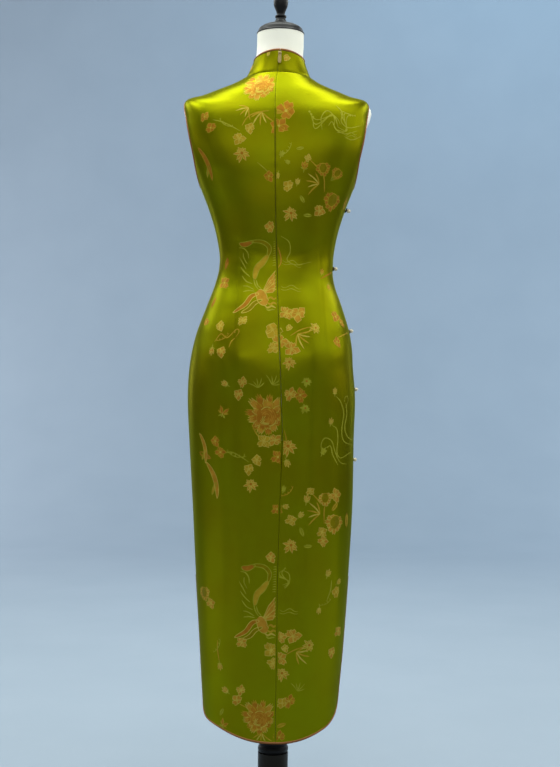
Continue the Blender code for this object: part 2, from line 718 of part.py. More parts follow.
def hem_sections(profile, first_side, last_side, sign):
    """The sections along the hem, between its two rounded corners."""
    sections = []
    for share in np.linspace(0, 1, HEM_STEPS + 1)[1:-1]:
        section = []
        for inset, height in profile:
            station = hem_station(inset)
            aside = slit_half_gap(station) + CORNER_WIDTH
            ends = [slit_edge(station, first_side, sign * aside),
                    slit_edge(station, last_side, -sign * aside)]
            lengths = np.interp(ends, ARC_ANGLES, arc_table(station))
            place = lengths[0] + share * (lengths[1] - lengths[0])
            angle = np.interp(place, arc_table(station), ARC_ANGLES)
            section.append(lifted(station, angle, height))
        sections.append(np.array(section))
    return sections


def front_edge_binding(name, finish):
    """The band along the front's edge, from the neck seam to the right armhole's binding."""
    profile = binding_profile(BIND_WIDTH)
    sections = []
    for station in body_stations(PANEL_INSET):
        if station >= FRONT_EDGE[-1].station:
            break
        angles = np.array([front_edge_angle(station, inset) for inset, _ in profile])
        if ARMHOLE_TOP < station:
            stop = armhole_angle(station, PANEL_INSET, RIGHT, FRONT)
            if angles.min() > stop:
                break
            angles = np.minimum(angles, stop)
        heights = np.array([height for _, height in profile])
        if station == NECK_START:
            section = skin(station, angles) + heights[:, None] * neck_miter(angles)
        else:
            section = lifted(station, angles, heights)
        sections.append(section)
    return binding(name, sections, finish)


def collar_binding(name, side, finish):
    """The band along a collar half's top, round its corner and down its front edge."""
    profile = binding_profile(COLLAR_BIND)
    rows = [collar_front_rows(inset) for inset, _ in profile]
    sections = []
    for column_number in range(2 * COLLAR_COLUMNS):
        section = []
        for (_, height), line in zip(profile, rows):
            rise, aside = line[-1]
            angle = collar_columns(rise, aside, side)[column_number]
            section.append(collar_out(rise, angle, height))
        sections.append(np.array(section))
    for step in range(len(rows[0]) - 1, -1, -1):
        section = []
        for (_, height), line in zip(profile, rows):
            rise, aside = line[step]
            angle = collar_columns(rise, aside, side)[-1]
            section.append(collar_out(rise, angle, height))
        sections.append(np.array(section))
    return binding(name, sections, finish)


# ---------------------------------------------------------------- zip
def along_chord(first, second, distance):
    """The point at a distance from first towards second."""
    return first + (second - first) * distance / np.linalg.norm(second - first)


def under_seam(left, right, outward):
    """A row of the zip's strip: the places under two panels' edges, near and far."""
    places = np.array([along_chord(*left, ZIP_HALF_WIDTH), (left[0] + right[0]) / 2,
                       along_chord(*right, ZIP_HALF_WIDTH)])
    return places - SEAM_GAP * outward, places - (SEAM_GAP + ZIP_THICK) * outward


def zip_strip(name, finish):
    """The zip's tape and coil, under the centre back seam, from the collar to the seat."""
    rows = []
    for rise, aside in collar_front_rows(COLLAR_BIND + SEAM_GAP)[::-1]:
        edges = [collar(rise, collar_columns(rise, aside, side)[:2]) for side in (LEFT, RIGHT)]
        if rise == collar_front_rows(COLLAR_BIND + SEAM_GAP)[0][0]:
            outward = neck_miter(np.array(collar_seam(rise)))
        else:
            outward = collar_normals(rise, collar_seam(rise))
        rows.append(under_seam(*edges, outward))
    for (station, *left), (_, *right) in zip(back_rows(LEFT), back_rows(RIGHT)):
        if station > ZIP_FOOT:
            break
        if station == NECK_START:
            continue
        edges = [skin(station, spread_angles(station, *ends, BACK_COLUMNS)[:2])
                 for ends in (left, right)]
        rows.append(under_seam(*edges, normals(station, back_seam(station))))
    near, far = zip(*rows)
    return wall_between(name, np.array(far), np.array(near), finish)


def slider_frame():
    """Where the slider sits: its middle on the collar's outer face, X, outward and up."""
    angle = collar_seam(SLIDER_RISE)
    place = collar_out(SLIDER_RISE, angle, WALL + SEAM_GAP)
    up = unit(collar(SLIDER_RISE + 0.05, angle) - collar(SLIDER_RISE - 0.05, angle))
    across = unit(np.array([1.0, 0.0, 0.0]) - up[0] * up)
    outward = np.cross(up, across)
    return place, across, outward, up


def placed(local, across, outward, up, place):
    """Local points (across, outward, up) as world points."""
    frame = np.stack([across, outward, up])
    return np.asarray(local, float) @ frame + place


def frame_matrix(place, across, outward, up):
    """The object matrix of a local frame whose origin is in millimetres."""
    rows = [[across[i], outward[i], up[i], place[i] * MM] for i in range(3)]
    return Matrix(rows + [[0, 0, 0, 1]])


def slider_outline():
    """The slider's body in profile (outward, up), with its two ends sloped."""
    half = SLIDER_LENGTH / 2
    return [(0, -half), (SLIDER_THICK, -half + 0.8), (SLIDER_THICK, half - 1.2),
            (SLIDER_THICK * 0.4, half), (0, half)]


def bail_outline():
    """The bail in profile (outward, up): an arch whose feet sink into the slider's body."""
    half = BAIL_REACH / 2
    foot, crown = SLIDER_THICK - BAIL_SINK, SLIDER_THICK + BAIL_HEIGHT
    inside, under = half - BAIL_BAR, crown - BAIL_BAR
    return [(foot, -half), (crown - BAIL_ROUND, -half), (crown, -half + BAIL_ROUND),
            (crown, half - BAIL_ROUND), (crown - BAIL_ROUND, half), (foot, half),
            (foot, inside), (under, inside), (under, -inside), (foot, -inside)]


def zip_slider(name, finish):
    """The slider's body with its bail, as one solid."""
    body = prism(name, slider_outline(), SLIDER_WIDTH / 2, 0, finish)
    bail = prism(name + "_bail", bail_outline(), BAIL_WIDTH / 2, 0, finish)
    joined(body, bail, "UNION")
    for piece in (body, bail):
        piece.matrix_world = frame_matrix(*slider_frame())


def tab_outline():
    """Half of the pull tab's outline (across, up), from its bar down to its rounded end."""
    widest = TAB_WIDTH / 2
    centre = widest - TAB_LENGTH
    half = [(TAB_TOP_WIDTH / 2, PIN_RADIUS), (TAB_TOP_WIDTH / 2, -TAB_HOLE_REACH),
            (widest, -TAB_LENGTH * TAB_SHOULDER)]
    half += [(widest * math.cos(t), centre - widest * math.sin(t)) for t in (0.5, 1.05)]
    return half


def zip_pull(name, finish):
    """The pull tab: a teardrop whose top bar turns in the bail. Its origin is on that bar."""
    half = tab_outline()
    outline = half + [(0, -TAB_LENGTH)] + [(-x, z) for x, z in half[::-1]]
    tab = prism(name, outline, TAB_THICK / 2, 1, finish)
    side = TAB_HOLE_WIDTH / 2
    hole = [(side, -PIN_RADIUS), (side, -TAB_HOLE_REACH), (-side, -TAB_HOLE_REACH),
            (-side, -PIN_RADIUS)]
    window = prism(name + "_window", hole, TAB_THICK, 1, finish)
    joined(tab, window, "DIFFERENCE")
    place, across, outward, up = slider_frame()
    bar = place + (SLIDER_THICK + PIN_HEIGHT) * outward
    for piece in (tab, window):
        piece.matrix_world = frame_matrix(bar, across, outward, up)


# ---------------------------------------------------------------- fastenings
class Ground:
    """The outer faces of some solids, on which small pieces are laid."""

    REACH = 20.0      # how far off a ray starts

    def __init__(self, solids):
        points, faces = [], []
        for solid in solids:
            faces += [[len(points) + i for i in face.vertices] for face in solid.data.polygons]
            points += [vertex.co.copy() for vertex in solid.data.vertices]
        self.tree = BVHTree.FromPolygons(points, faces)

    def height(self, place, outward, around):
        """How high the solids reach over a place, at it and a little way round it."""
        best = 0.0
        for shift in [np.zeros(3), *around]:
            start = Vector((place + shift + self.REACH * outward) * MM)
            _, _, _, distance = self.tree.ray_cast(start, -Vector(outward), self.REACH * MM)
            if distance is not None:
                best = max(best, self.REACH - distance / MM)
        return best


def cloth_frame(station, angle):
    """A place on the skin, with its outward, forward (towards smaller angles) and down."""
    outward = normals(station, angle)
    down, round_it = tangents(np.array(station, float), np.array(angle, float))
    forward = unit(-round_it)
    down = unit(down - np.sum(down * forward) * forward)
    return skin(station, angle), outward, forward, down


def pearl(name, station, angle, ground, finish):
    """A pearl on its shank, which stands on the cloth."""
    place, outward, forward, down = cloth_frame(station, angle)
    turns = np.linspace(0, 2 * math.pi, PEARL_SIDES, endpoint=False)
    around = [SHANK_RADIUS * (math.cos(t) * forward + math.sin(t) * down) for t in turns]
    seat = ground.height(place, outward, around)
    rises = np.linspace(PEARL_FOOT, math.pi / 2, PEARL_RINGS, endpoint=False)
    profile = [(SHANK_RADIUS, seat + SEAM_GAP)]
    profile += [(PEARL_RADIUS * math.cos(a), seat + PEARL_HEIGHT + PEARL_RADIUS * math.sin(a))
                for a in rises]
    points = [placed([(r * math.cos(t), r * math.sin(t), h) for t in turns],
                     forward, down, outward, place) for r, h in profile]
    faces = tube_faces(len(profile), PEARL_SIDES, closed=False)
    return add_object(name, np.concatenate(points), faces, finish)


def hairpin():
    """The cord's middle line (forward, down) from one leg's end, round the eye, and back."""
    gap = CORD_RADIUS + SEAM_GAP / 2
    turns = np.linspace(-EYE_TURN, EYE_TURN, EYE_STEPS + 1)
    start = EYE_RADIUS + LEG_START
    leg = [(start + LEG_LENGTH * share, gap) for share in np.linspace(1, 0, LEG_STEPS + 1)]
    eye = [(-EYE_RADIUS * math.cos(t), -EYE_RADIUS * math.sin(t)) for t in turns]
    return leg + eye + [(x, -y) for x, y in leg[::-1]]


def loop(name, station, angle, ground, finish):
    """A cord loop round a pearl's shank, with its two legs sewn down on the front."""
    line = np.array(hairpin())
    place, _, forward, down = cloth_frame(station, angle)
    flat = place + line[:, :1] * forward + line[:, 1:] * down
    stations, angles = nearest_on_skin(flat, station, angle)
    foot = skin(stations, angles)
    up = normals(stations, angles)
    along = unit(np.gradient(foot, axis=0))
    aside = unit(np.cross(along, up))
    points = []
    for centre, a, b, c in zip(foot, along, aside, up):
        around = [x * a + y * b for x in CORD_PROBES for y in (-CORD_RADIUS, CORD_RADIUS)]
        middle = centre + (ground.height(centre, c, around) + CORD_LIFT + CORD_RADIUS) * c
        turns = np.linspace(0, 2 * math.pi, CORD_SIDES, endpoint=False)
        points += [middle + CORD_RADIUS * (math.cos(t) * b + math.sin(t) * c) for t in turns]
    return add_object(name, points, tube_faces(len(line), CORD_SIDES, closed=False), finish)


def nearest_on_skin(points, station, angle, rounds=6):
    """The station and angle under each of some points that lie near a first place."""
    stations = np.full(len(points), float(station))
    angles = np.full(len(points), float(angle))
    for _ in range(rounds):
        down, round_it = tangents(stations, angles)
        miss = points - skin(stations, angles)
        for i, (a, b, want) in enumerate(zip(down, round_it, miss)):
            change = np.linalg.lstsq(np.stack([a, b], axis=1), want, rcond=None)[0]
            stations[i] += change[0]
            angles[i] += change[1]
    return stations, angles


def fastenings(ground, pearl_finish, cord_finish):
    """The pearls and loops of the right side and of the front's edge."""
    for number, spot in enumerate(SIDE_FASTENINGS, 1):
        station = stations_at(spot.z)
        angle = shifted(station, RIGHT, -spot.forward)
        pearl(f"pearl_side_{number}", station, angle, ground, pearl_finish)
        loop(f"loop_side_{number}", station, angle, ground, cord_finish)
    for number, station in enumerate(FRONT_FASTENINGS, 1):
        angle = front_edge_angle(station, -EYE_RADIUS - CORD_RADIUS - 3 * SEAM_GAP)
        pearl(f"pearl_front_{number}", station, angle, ground, pearl_finish)
        loop(f"loop_front_{number}", station, angle, ground, cord_finish)


# ---------------------------------------------------------------- dress form and stand
def form_ring(station):
    """A ring of the form under the cloth, with its shoulder ends filling the armholes."""
    seam = back_seam(station)
    quarters = [spread_angles(station, *ends, FORM_COLUMNS)[:-1] for ends in
                ((seam, LEFT), (LEFT, FRONT), (FRONT, RIGHT), (RIGHT, seam + 2 * math.pi))]
    angles = np.concatenate(quarters)
    from_side = np.abs(skin(station, angles)[:, 1])
    if station < ARMHOLE_TOP:
        clear = YOKE_CLEAR + (FORM_SEAT - YOKE_CLEAR) * np.clip(1 - from_side / SEAT_WIDTH, 0, 1)
    else:
        clear = np.full(len(angles), np.interp(station, [4, 5], [YOKE_CLEAR, FORM_CLEAR]))
    if station == 0:
        return skin(station, angles) - clear[:, None] * neck_miter(angles)
    points = lifted(station, angles, -clear)
    if ARMHOLE_TOP < station < ARMHOLE_FOOT:
        bulge = np.interp(station, *np.array(ARM_BULGE).T)
        for face, reach, name in ((BACK, ARMHOLE_BACK, "back"), (FRONT, ARMHOLE_FRONT, "front")):
            turn = armhole_turn(station, 0.0, reach, name)
            edge = column(name, station) * math.sin(turn) ** (2 / column("square", station))
            behind = points[:, 1] > 0
            here = behind if face == BACK else ~behind
            share = np.clip(1 - (np.abs(points[:, 1]) / max(edge - 1.0, 0.1)) ** 2, 0, 1)
            points[:, 0] += np.where(here, np.sign(points[:, 0]) * bulge * share, 0)
    return points


def dress_form(name, finish):
    """The form: torso with shoulder ends and neck, closed by a flat foot and a flat neck top."""
    turns = np.linspace(0, 2 * math.pi, 4 * FORM_COLUMNS, endpoint=False)
    rings = []
    for station in body_stations(PANEL_INSET)[::-1]:
        if station <= FORM_FOOT:
            rings.append(form_ring(0.0 if station == NECK_START else float(station)))
    for rise in (0.35, 0.7, 1.0):
        rings.append(collar_out(rise, turns, np.full(len(turns), -YOKE_CLEAR)))
    for height in (NECK_FOOT, NECK_TOP):
        rings.append(np.stack([NECK_RADIUS * np.sin(turns), NECK_RADIUS * np.cos(turns),
                               np.full(len(turns), height)], axis=1))
    faces = tube_faces(len(rings), len(turns), closed=False)
    add_object(name, np.concatenate(rings), faces, finish)


def stand(wood, column_wood):
    """Base, column, turned ring and pole, each a seam gap over the one below."""
    top = turned("stand_base", BASE_TURNS, 0.0, wood, BASE_STEPS)
    top = turned("stand_column", COLUMN_TURNS, top + SEAM_GAP, column_wood)
    top = turned("stand_ring", RING_TURNS, top + SEAM_GAP, wood)
    foot = top + SEAM_GAP
    length = float(column("side_z", FORM_FOOT)) - SEAM_GAP - foot
    turned("stand_pole", [Turn(POLE_RADIUS, 0.0), Turn(POLE_RADIUS, length)], foot, wood)


def neck_cap(wood):
    """The domed cap on the neck and the turned finial on the cap."""
    top = turned("neck_cap", CAP_TURNS, NECK_TOP + SEAM_GAP, wood)
    turned("finial", FINIAL_TURNS, top + SEAM_GAP, wood, FINIAL_STEPS)


# ---------------------------------------------------------------- the whole part
def main():
    for old in list(bpy.data.objects):
        bpy.data.objects.remove(old)
    brocade = material("lime_brocade", (0.33, 0.42, 0.01), 0.35)
    copper_satin = material("copper_binding", (0.48, 0.17, 0.06), 0.4)
    cord_cloth = material("dark_cord", (0.06, 0.05, 0.015), 0.5)
    pearl_glaze = material("pearl", (0.82, 0.78, 0.66), 0.2)
    zip_cloth = material("zip_tape", (0.22, 0.24, 0.03), 0.7)
    zip_metal = material("zip_metal", (0.72, 0.6, 0.36), 0.35, 1.0)
    jersey = material("form_jersey", (0.82, 0.81, 0.77), 0.85)
    black_wood = material("black_wood", (0.012, 0.012, 0.013), 0.25)
    column_wood = material("column_wood", (0.028, 0.026, 0.019), 0.45)

    panel("back_left", back_rows(LEFT), BACK_COLUMNS, brocade)
    back_right = panel("back_right", back_rows(RIGHT), BACK_COLUMNS, brocade)
    front = front_panel("front", brocade)
    shoulder = shoulder_panel("front_right_shoulder", brocade)
    collar_half("collar_left", LEFT, brocade)
    collar_half("collar_right", RIGHT, brocade)

    armhole_binding("binding_armhole_left", LEFT, copper_satin)
    armhole_binding("binding_armhole_right", RIGHT, copper_satin)
    front_edge = front_edge_binding("binding_front_edge", copper_satin)
    collar_binding("binding_collar_left", LEFT, copper_satin)
    collar_binding("binding_collar_right", RIGHT, copper_satin)
    hem_binding("binding_hem_back", BACK, copper_satin)
    hem_binding("binding_hem_front", FRONT, copper_satin)

    zip_strip("zip_tape", zip_cloth)
    zip_slider("zip_slider", zip_metal)
    zip_pull("zip_pull", zip_metal)
    ground = Ground([back_right, front, shoulder, front_edge])
    fastenings(ground, pearl_glaze, cord_cloth)

    dress_form("dress_form", jersey)
    neck_cap(black_wood)
    stand(black_wood, column_wood)


main()
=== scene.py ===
"""Looks of a lime-green brocade cheongsam on its dress form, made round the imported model.

Sizes are in millimetres, as in the model, and become metres where a mesh is made. The garment's
skin and its edges are the model's own, followed more finely: a place on the skin is (station,
angle), where angle 0 is the centre back, 90 degrees the wearer's left, 180 the centre front and
-90 the wearer's right. The camera stands behind the garment, so +X is on the picture's left.
"""

import math
from collections import namedtuple
from functools import lru_cache

import bmesh
import bpy
import numpy as np
from mathutils import Matrix


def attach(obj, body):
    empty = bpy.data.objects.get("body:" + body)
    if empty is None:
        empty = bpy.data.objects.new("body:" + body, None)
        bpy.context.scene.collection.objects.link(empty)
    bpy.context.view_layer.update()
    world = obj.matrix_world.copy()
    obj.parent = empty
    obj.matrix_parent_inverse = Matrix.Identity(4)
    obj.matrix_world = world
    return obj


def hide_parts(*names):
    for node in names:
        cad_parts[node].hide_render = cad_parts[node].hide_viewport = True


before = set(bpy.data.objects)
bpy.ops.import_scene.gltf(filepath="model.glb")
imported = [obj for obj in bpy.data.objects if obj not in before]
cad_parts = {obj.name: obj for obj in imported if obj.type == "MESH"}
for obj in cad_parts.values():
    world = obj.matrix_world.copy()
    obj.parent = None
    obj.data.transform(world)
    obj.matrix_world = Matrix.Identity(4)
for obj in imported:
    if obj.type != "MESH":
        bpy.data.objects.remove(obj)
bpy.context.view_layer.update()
GARMENT, PULL_TAB = "dress_on_form", "pull_tab"
MM = 0.001
BACK, LEFT, FRONT, RIGHT = (math.radians(a) for a in (0, 90, 180, 270))
SIDES = (("left", LEFT), ("right", RIGHT))

# ---------------------------------------------------------------- sizes shared with the model
WALL = 1.5
SEAM_GAP = 0.3
BIND_WIDTH, BIND_PROUD, COLLAR_BIND = 5.0, 2.4, 4.0
ARMHOLE_BACK, ARMHOLE_FRONT = 46.0, 52.0
ARMHOLE_TOP, ARMHOLE_FOOT = 4.0, 8.0
ARMHOLE_SKEW, ARMHOLE_ROUND = 1.2, 0.7
SLIT_TOP, HEM = 19.0, 22.0
SLIT_GAP_AT_HEM, SLIT_START, SKIRT_TURN = 18.0, 6.0, 10.0
CORNER_WIDTH, CORNER_HEIGHT = 57.0, 56.0
COLLAR_CORNER, COLLAR_FRONT_GAP, COLLAR_MITER = 18.0, 1.2, 0.08
FORM_CLEAR, YOKE_CLEAR, FORM_SEAT, SEAT_WIDTH, FORM_FOOT = 3.2, 2.0, 0.7, 15.0, 17.0
NECK_RADIUS, NECK_FOOT, NECK_TOP = 46.5, 1532.0, 1557.7
NECK_START = 0.006
NECK_ROWS = (NECK_START, 0.02, 0.045, 0.08, 0.13)
ZIP_FOOT = 14.0

Ring = namedtuple(
    "Ring", "name side_z half centre back back_z front front_z square drop seam_x lean",
    defaults=(0.0,),
)
RINGS = [
    Ring("neck seam", 1468, 63.5, 3.2, 57, 1470, 62, 1430, 2.0, 2, 5.0),
    Ring("yoke inner", 1454.5, 87.5, 5.0, 69, 1449, 73, 1401, 2.0, 2, 7.5),
    Ring("yoke middle", 1442.5, 116.5, 6.0, 79, 1430, 82, 1377, 2.1, 2, 8.5),
    Ring("yoke outer", 1430, 148.5, 6.5, 87, 1409, 90, 1353, 2.2, 2, 9.0),
    Ring("shoulder tip", 1419, 180.0, 6.5, 93, 1386, 97, 1328, 2.5, 2, 9.0),
    Ring("upper armhole", 1385, 180.0, 6.0, 97, 1354, 104, 1303, 2.9, 2, 8.5),
    Ring("mid armhole", 1340, 176.0, 5.0, 99, 1320, 110, 1282, 3.0, 2, 8.0),
    Ring("lower armhole", 1295, 166.0, 5.0, 98, 1286, 114, 1266, 2.8, 2, 7.5),
    Ring("armpit", 1253, 152.5, 4.0, 95, 1253, 116, 1253, 2.5, 2, 7.0),
    Ring("bust", 1205, 134.3, 3.5, 90, 1205, 112, 1205, 2.3, 2, 6.0),
    Ring("under bust", 1155, 119.3, 3.3, 82, 1155, 98, 1155, 2.2, 2, 4.5),
    Ring("waist", 1103, 111.6, 3.5, 75, 1103, 90, 1103, 2.1, 2, 2.5),
    Ring("upper hip", 1060, 116.8, 6.0, 82, 1060, 92, 1060, 2.1, 2, 1.0),
    Ring("high hip", 1010, 134.5, 6.5, 98, 1010, 97, 1010, 2.15, 2, -0.5),
    Ring("seat top", 955, 152.3, 8.5, 113, 955, 101, 955, 2.2, 2, -3.0),
    Ring("seat", 895, 161.2, 11.5, 121, 895, 102, 895, 2.2, 2, -6.0),
    Ring("low hip", 830, 165.5, 10.5, 118, 830, 101, 830, 2.25, 2, -9.0),
    Ring("thigh", 750, 162.7, 9.5, 113, 750, 99, 750, 2.3, 2, -11.5),
    Ring("knee", 620, 158.0, 6.0, 109, 620, 97, 620, 2.3, 2, -8.0),
    Ring("slit top", 483, 150.8, 5.5, 105, 483, 95, 483, 2.3, 2, -5.5),
    Ring("calf", 360, 142.5, 5.5, 102, 360, 92, 360, 2.3, 2.4, -5.5, 0.02),
    Ring("above hem", 272, 136.3, 6.3, 100, 266, 90, 266, 2.3, 2.8, -4.5, 0.05),
    Ring("hem", 200, 131.0, 6.5, 99, 165.6, 88, 168.8, 2.3, 3.2, -4.5, 0.07),
]
COLLAR_TOP = Ring("collar top", 1506, 48.4, 1.8, 50, 1517, 50, 1470, 2.0, 2, 0.0)

Rise = namedtuple("Rise", "angle z amount angle_spread z_spread")
RISES = [
    Rise(math.radians(180 - 40), 1212, 15.0, math.radians(21), 42.0),
    Rise(math.radians(180 + 40), 1212, 15.0, math.radians(21), 42.0),
    Rise(math.radians(34), 905, 3.5, math.radians(22), 60.0),
    Rise(math.radians(326), 905, 3.5, math.radians(22), 60.0),
]

FrontEdge = namedtuple("FrontEdge", "station out")
FRONT_EDGE = [
    FrontEdge(0, 0.0), FrontEdge(1, 3.0), FrontEdge(2, 11.0), FrontEdge(3, 29.0),
    FrontEdge(4, 61.0), FrontEdge(5, 99.0), FrontEdge(6, 131.0), FrontEdge(7, 151.0),
    FrontEdge(8, 166.0),
]

Bulge = namedtuple("Bulge", "station out")
ARM_BULGE = [
    Bulge(4.0, 0.0), Bulge(4.2, 2.6), Bulge(4.5, 5.6), Bulge(5.0, 5.0), Bulge(5.6, -1.0),
    Bulge(6.0, -4.0), Bulge(7.0, -3.0), Bulge(8.0, 0.0),
]

Fastening = namedtuple("Fastening", "z forward")
SIDE_FASTENINGS = [
    Fastening(1209, 2.0), Fastening(1091, 8.0), Fastening(965, 14.0),
    Fastening(849, 21.0), Fastening(708, 21.0),
]
FRONT_FASTENINGS = (0.6, 4.3)
EDGE_EASE = 1.5
EDGE_POINTS = 41

Turn = namedtuple("Turn", "radius z")
BASE_TURNS = [
    Turn(188, 0), Turn(190, 2), Turn(190, 15), Turn(188.2, 19), Turn(184, 21), Turn(175, 25),
]
COLUMN_TURNS = [
    Turn(44, 0), Turn(44, 4), Turn(40, 9), Turn(33, 13), Turn(30, 20), Turn(30, 98.7),
]
RING_TURNS = [
    Turn(26.5, 0), Turn(29.2, 2), Turn(30.2, 6), Turn(30.2, 9), Turn(28.6, 13), Turn(27.6, 15),
    Turn(29.4, 18), Turn(29.6, 21), Turn(27.6, 25), Turn(24, 27.7),
]
CAP_TURNS = [
    Turn(47, 0), Turn(47.6, 1.5), Turn(46.2, 3.5), Turn(43.3, 10.1), Turn(39.3, 13.5),
    Turn(33.7, 16.6), Turn(26.8, 19.1), Turn(18.8, 21),
]
FINIAL_TURNS = [
    Turn(16, 0), Turn(16, 1.5), Turn(12.5, 4), Turn(10.2, 8), Turn(9.6, 11), Turn(11.2, 12.5),
    Turn(11.2, 15.5), Turn(8.6, 17), Turn(8.2, 20), Turn(10.4, 27), Turn(13.4, 34),
    Turn(14.6, 42), Turn(14, 50), Turn(11.6, 57), Turn(7.4, 62), Turn(3, 64),
]
# The turned pieces from the floor up and the ones on the neck, each with the model's piece that
# it stands for and how many sides go round it.
Turned = namedtuple("Turned", "name profile slot node sides", defaults=[112])
STAND = [
    Turned("turned_base", BASE_TURNS, "black_wood", "stand_base", 160),
    Turned("turned_column", COLUMN_TURNS, "column_wood", "stand_column"),
    Turned("turned_ring", RING_TURNS, "black_wood", "stand_ring"),
]
NECK_PIECES = [
    Turned("turned_cap", CAP_TURNS, "black_wood", "neck_cap"),
    Turned("turned_finial", FINIAL_TURNS, "black_wood", "finial", 72),
]

# ---------------------------------------------------------------- sizes of the looks
CLOTH_BACK = 0.25           # the shell's inner face over the skin
THINNEST = 0.5
ROW_STEP = 6.0
ROLL = 3.2                  # how far in from a seam the cloth rolls down to it
ROLL_STEPS = (0.0, 0.5, 1.2, 2.1, 3.2)
SEAM_FLOOR = 0.35           # the cloth's height at a seam's very edge
CENTRE_GAP, SIDE_GAP = 0.55, 0.2
PUCKER_STEP, PUCKER_DEPTH, PUCKER_REACH = 21.0, 0.13, 9.0
PUCKER_SWAY = 9.7
TUCK = 4.4                  # from an edge to the panel whose edge its binding covers
SHOULDER_TUCK = 1.5         # how far the shoulder piece runs under the front's binding
COLLAR_TUCK = 3.4
COLLAR_HOLLOW = 1.1         # how far the collar curves in halfway up, clear of its back edges
HOLLOW_START, HOLLOW_FULL, HOLLOW_FRONT = (math.radians(a) for a in (5, 17, 14))
PIPE_POINTS, PIPE_FLOOR, PIPE_SQUARE = 11, 0.1, 0.6
ARMHOLE_ROWS = 48
PANEL_COLUMNS = {"back_left": 96, "back_right": 96, "front": 130, "front_right_shoulder": 30}
COLLAR_HALF_COLUMNS = 22
SLIT_STEPS, CORNER_STEPS, HEM_POINTS, COLLAR_ROWS, COLLAR_CORNER_STEPS = 36, 18, 63, 9, 12
NECK_ROWS_END, ROWS_APART = 0.2, 0.008
NEAR = 1e-3                 # the step of a slope, in stations, radians or shares of the collar
NEAREST_ROUNDS = 6
COLLAR_SEARCH, COLLAR_SAMPLES = 0.6, 241
STATION_SAMPLES = 2201

# Troughs (negative) and ridges of the cloth: the place of each one's middle, its lean from the
# vertical in degrees, half its length and width, and its depth. side is the face it lies on.
Fold = namedtuple("Fold", "side x z lean length width depth")
FOLDS = [
    Fold(BACK, 79, 1050, -2.6, 135, 2.8, -0.45),
    Fold(BACK, 88, 1020, -2.6, 120, 9.0, -0.4),
    Fold(BACK, 68, 1000, -3.0, 100, 12.0, 0.5),
    Fold(BACK, 97, 915, 30, 26, 13.0, -1.3),
    Fold(BACK, -84, 1050, 3.4, 125, 2.8, -0.4),
    Fold(BACK, -93, 980, 8.0, 60, 7.0, 0.5),
    Fold(BACK, -101, 930, -35, 34, 12.0, -1.0),
    Fold(BACK, 126, 880, 12, 70, 12.0, -1.0),
    Fold(BACK, 95, 914, 84, 55, 20.0, 2.8),
    Fold(BACK, -92, 918, 95, 55, 22.0, 2.4),
    Fold(BACK, 108, 700, 2, 190, 13.0, 1.3),
    Fold(BACK, 86, 640, -1, 260, 11.0, -1.2),
    Fold(BACK, 62, 560, 1, 230, 14.0, 1.1),
    Fold(BACK, 36, 620, -1, 210, 10.0, -0.9),
    Fold(BACK, -18, 640, 1, 240, 11.0, 0.8),
    Fold(BACK, -42, 560, 0, 230, 11.0, -1.1),
    Fold(BACK, -64, 650, -1, 260, 12.0, 1.3),
    Fold(BACK, -92, 610, 1, 230, 13.0, -1.4),
    Fold(BACK, -118, 560, 2, 250, 12.0, 1.4),
    Fold(BACK, 118, 430, -3, 150, 13.0, -1.2),
    Fold(BACK, 30, 1290, -8, 70, 16.0, -0.8),
    Fold(BACK, -40, 1300, 10, 80, 18.0, -0.8),
    Fold(BACK, 128, 1290, 16, 60, 10.0, 0.9),
    Fold(BACK, -124, 1300, -16, 60, 10.0, 0.9),
    Fold(BACK, 60, 1125, 62, 38, 7.0, -0.6),
    Fold(BACK, -58, 1120, -64, 40, 7.0, -0.6),
    Fold(BACK, 92, 1085, 70, 30, 6.0, 0.6),
    Fold(BACK, -92, 1092, -68, 30, 6.0, 0.6),
    Fold(FRONT, 76, 1120, 2.5, 90, 2.4, -0.6),
    Fold(FRONT, -70, 1120, -2.5, 90, 2.4, -0.6),
    Fold(FRONT, 118, 1190, 62, 34, 5.0, -0.9),
    Fold(FRONT, -112, 1190, -62, 34, 5.0, -0.9),
    Fold(FRONT, 108, 640, 1, 240, 13.0, -1.3),
    Fold(FRONT, 72, 560, -1, 240, 12.0, 1.2),
    Fold(FRONT, 34, 660, 1, 220, 12.0, -1.0),
    Fold(FRONT, -10, 540, 0, 230, 12.0, 0.9),
    Fold(FRONT, -48, 620, -1, 250, 12.0, -1.2),
    Fold(FRONT, -86, 560, 1, 240, 13.0, 1.3),
    Fold(FRONT, -116, 660, 2, 210, 12.0, -1.1),
    Fold(FRONT, 40, 985, 74, 60, 10.0, 0.9),
    Fold(FRONT, -38, 975, -72, 62, 10.0, 0.8),
    Fold(FRONT, 20, 1335, 20, 60, 14.0, -0.8),
]

TAPE_HALF_WIDTH, TAPE_TOP, TAPE_THICK = 4.0, -0.35, 0.8
COIL_PITCH, COIL_SIDE = 1.1, 0.25
SEAM_RISE, SEAM_RISES, SEAM_START = 0.02, 60, 0.05
TOOTH_HALF = (0.9, 0.45, 0.4)
SLIDER_RISE, SLIDER_REACH = 0.78, 0.05
SLIDER_WIDTH, SLIDER_THICK, SLIDER_LENGTH = 6.4, 2.2, 9.0
SLIDER_HEEL, SLIDER_NOSE, SLIDER_LIP, SLIDER_EDGE = 0.8, 1.2, 0.4, 0.35
BAIL_WIDTH, BAIL_REACH, BAIL_HEIGHT, BAIL_BAR, BAIL_SINK = 1.6, 5.6, 3.0, 0.8, 0.6
BAIL_POINTS, BAIL_SQUARE, BAIL_EDGE = 13, 0.6, 0.12
PIN_RADIUS, PIN_HEIGHT = 0.6, 1.25
TAB_TOP_WIDTH, TAB_WIDTH, TAB_LENGTH, TAB_THICK = 5.0, 8.0, 21.0, 1.1
TAB_HOLE_WIDTH, TAB_HOLE_REACH, TAB_POINTS = 2.8, 3.6, 48
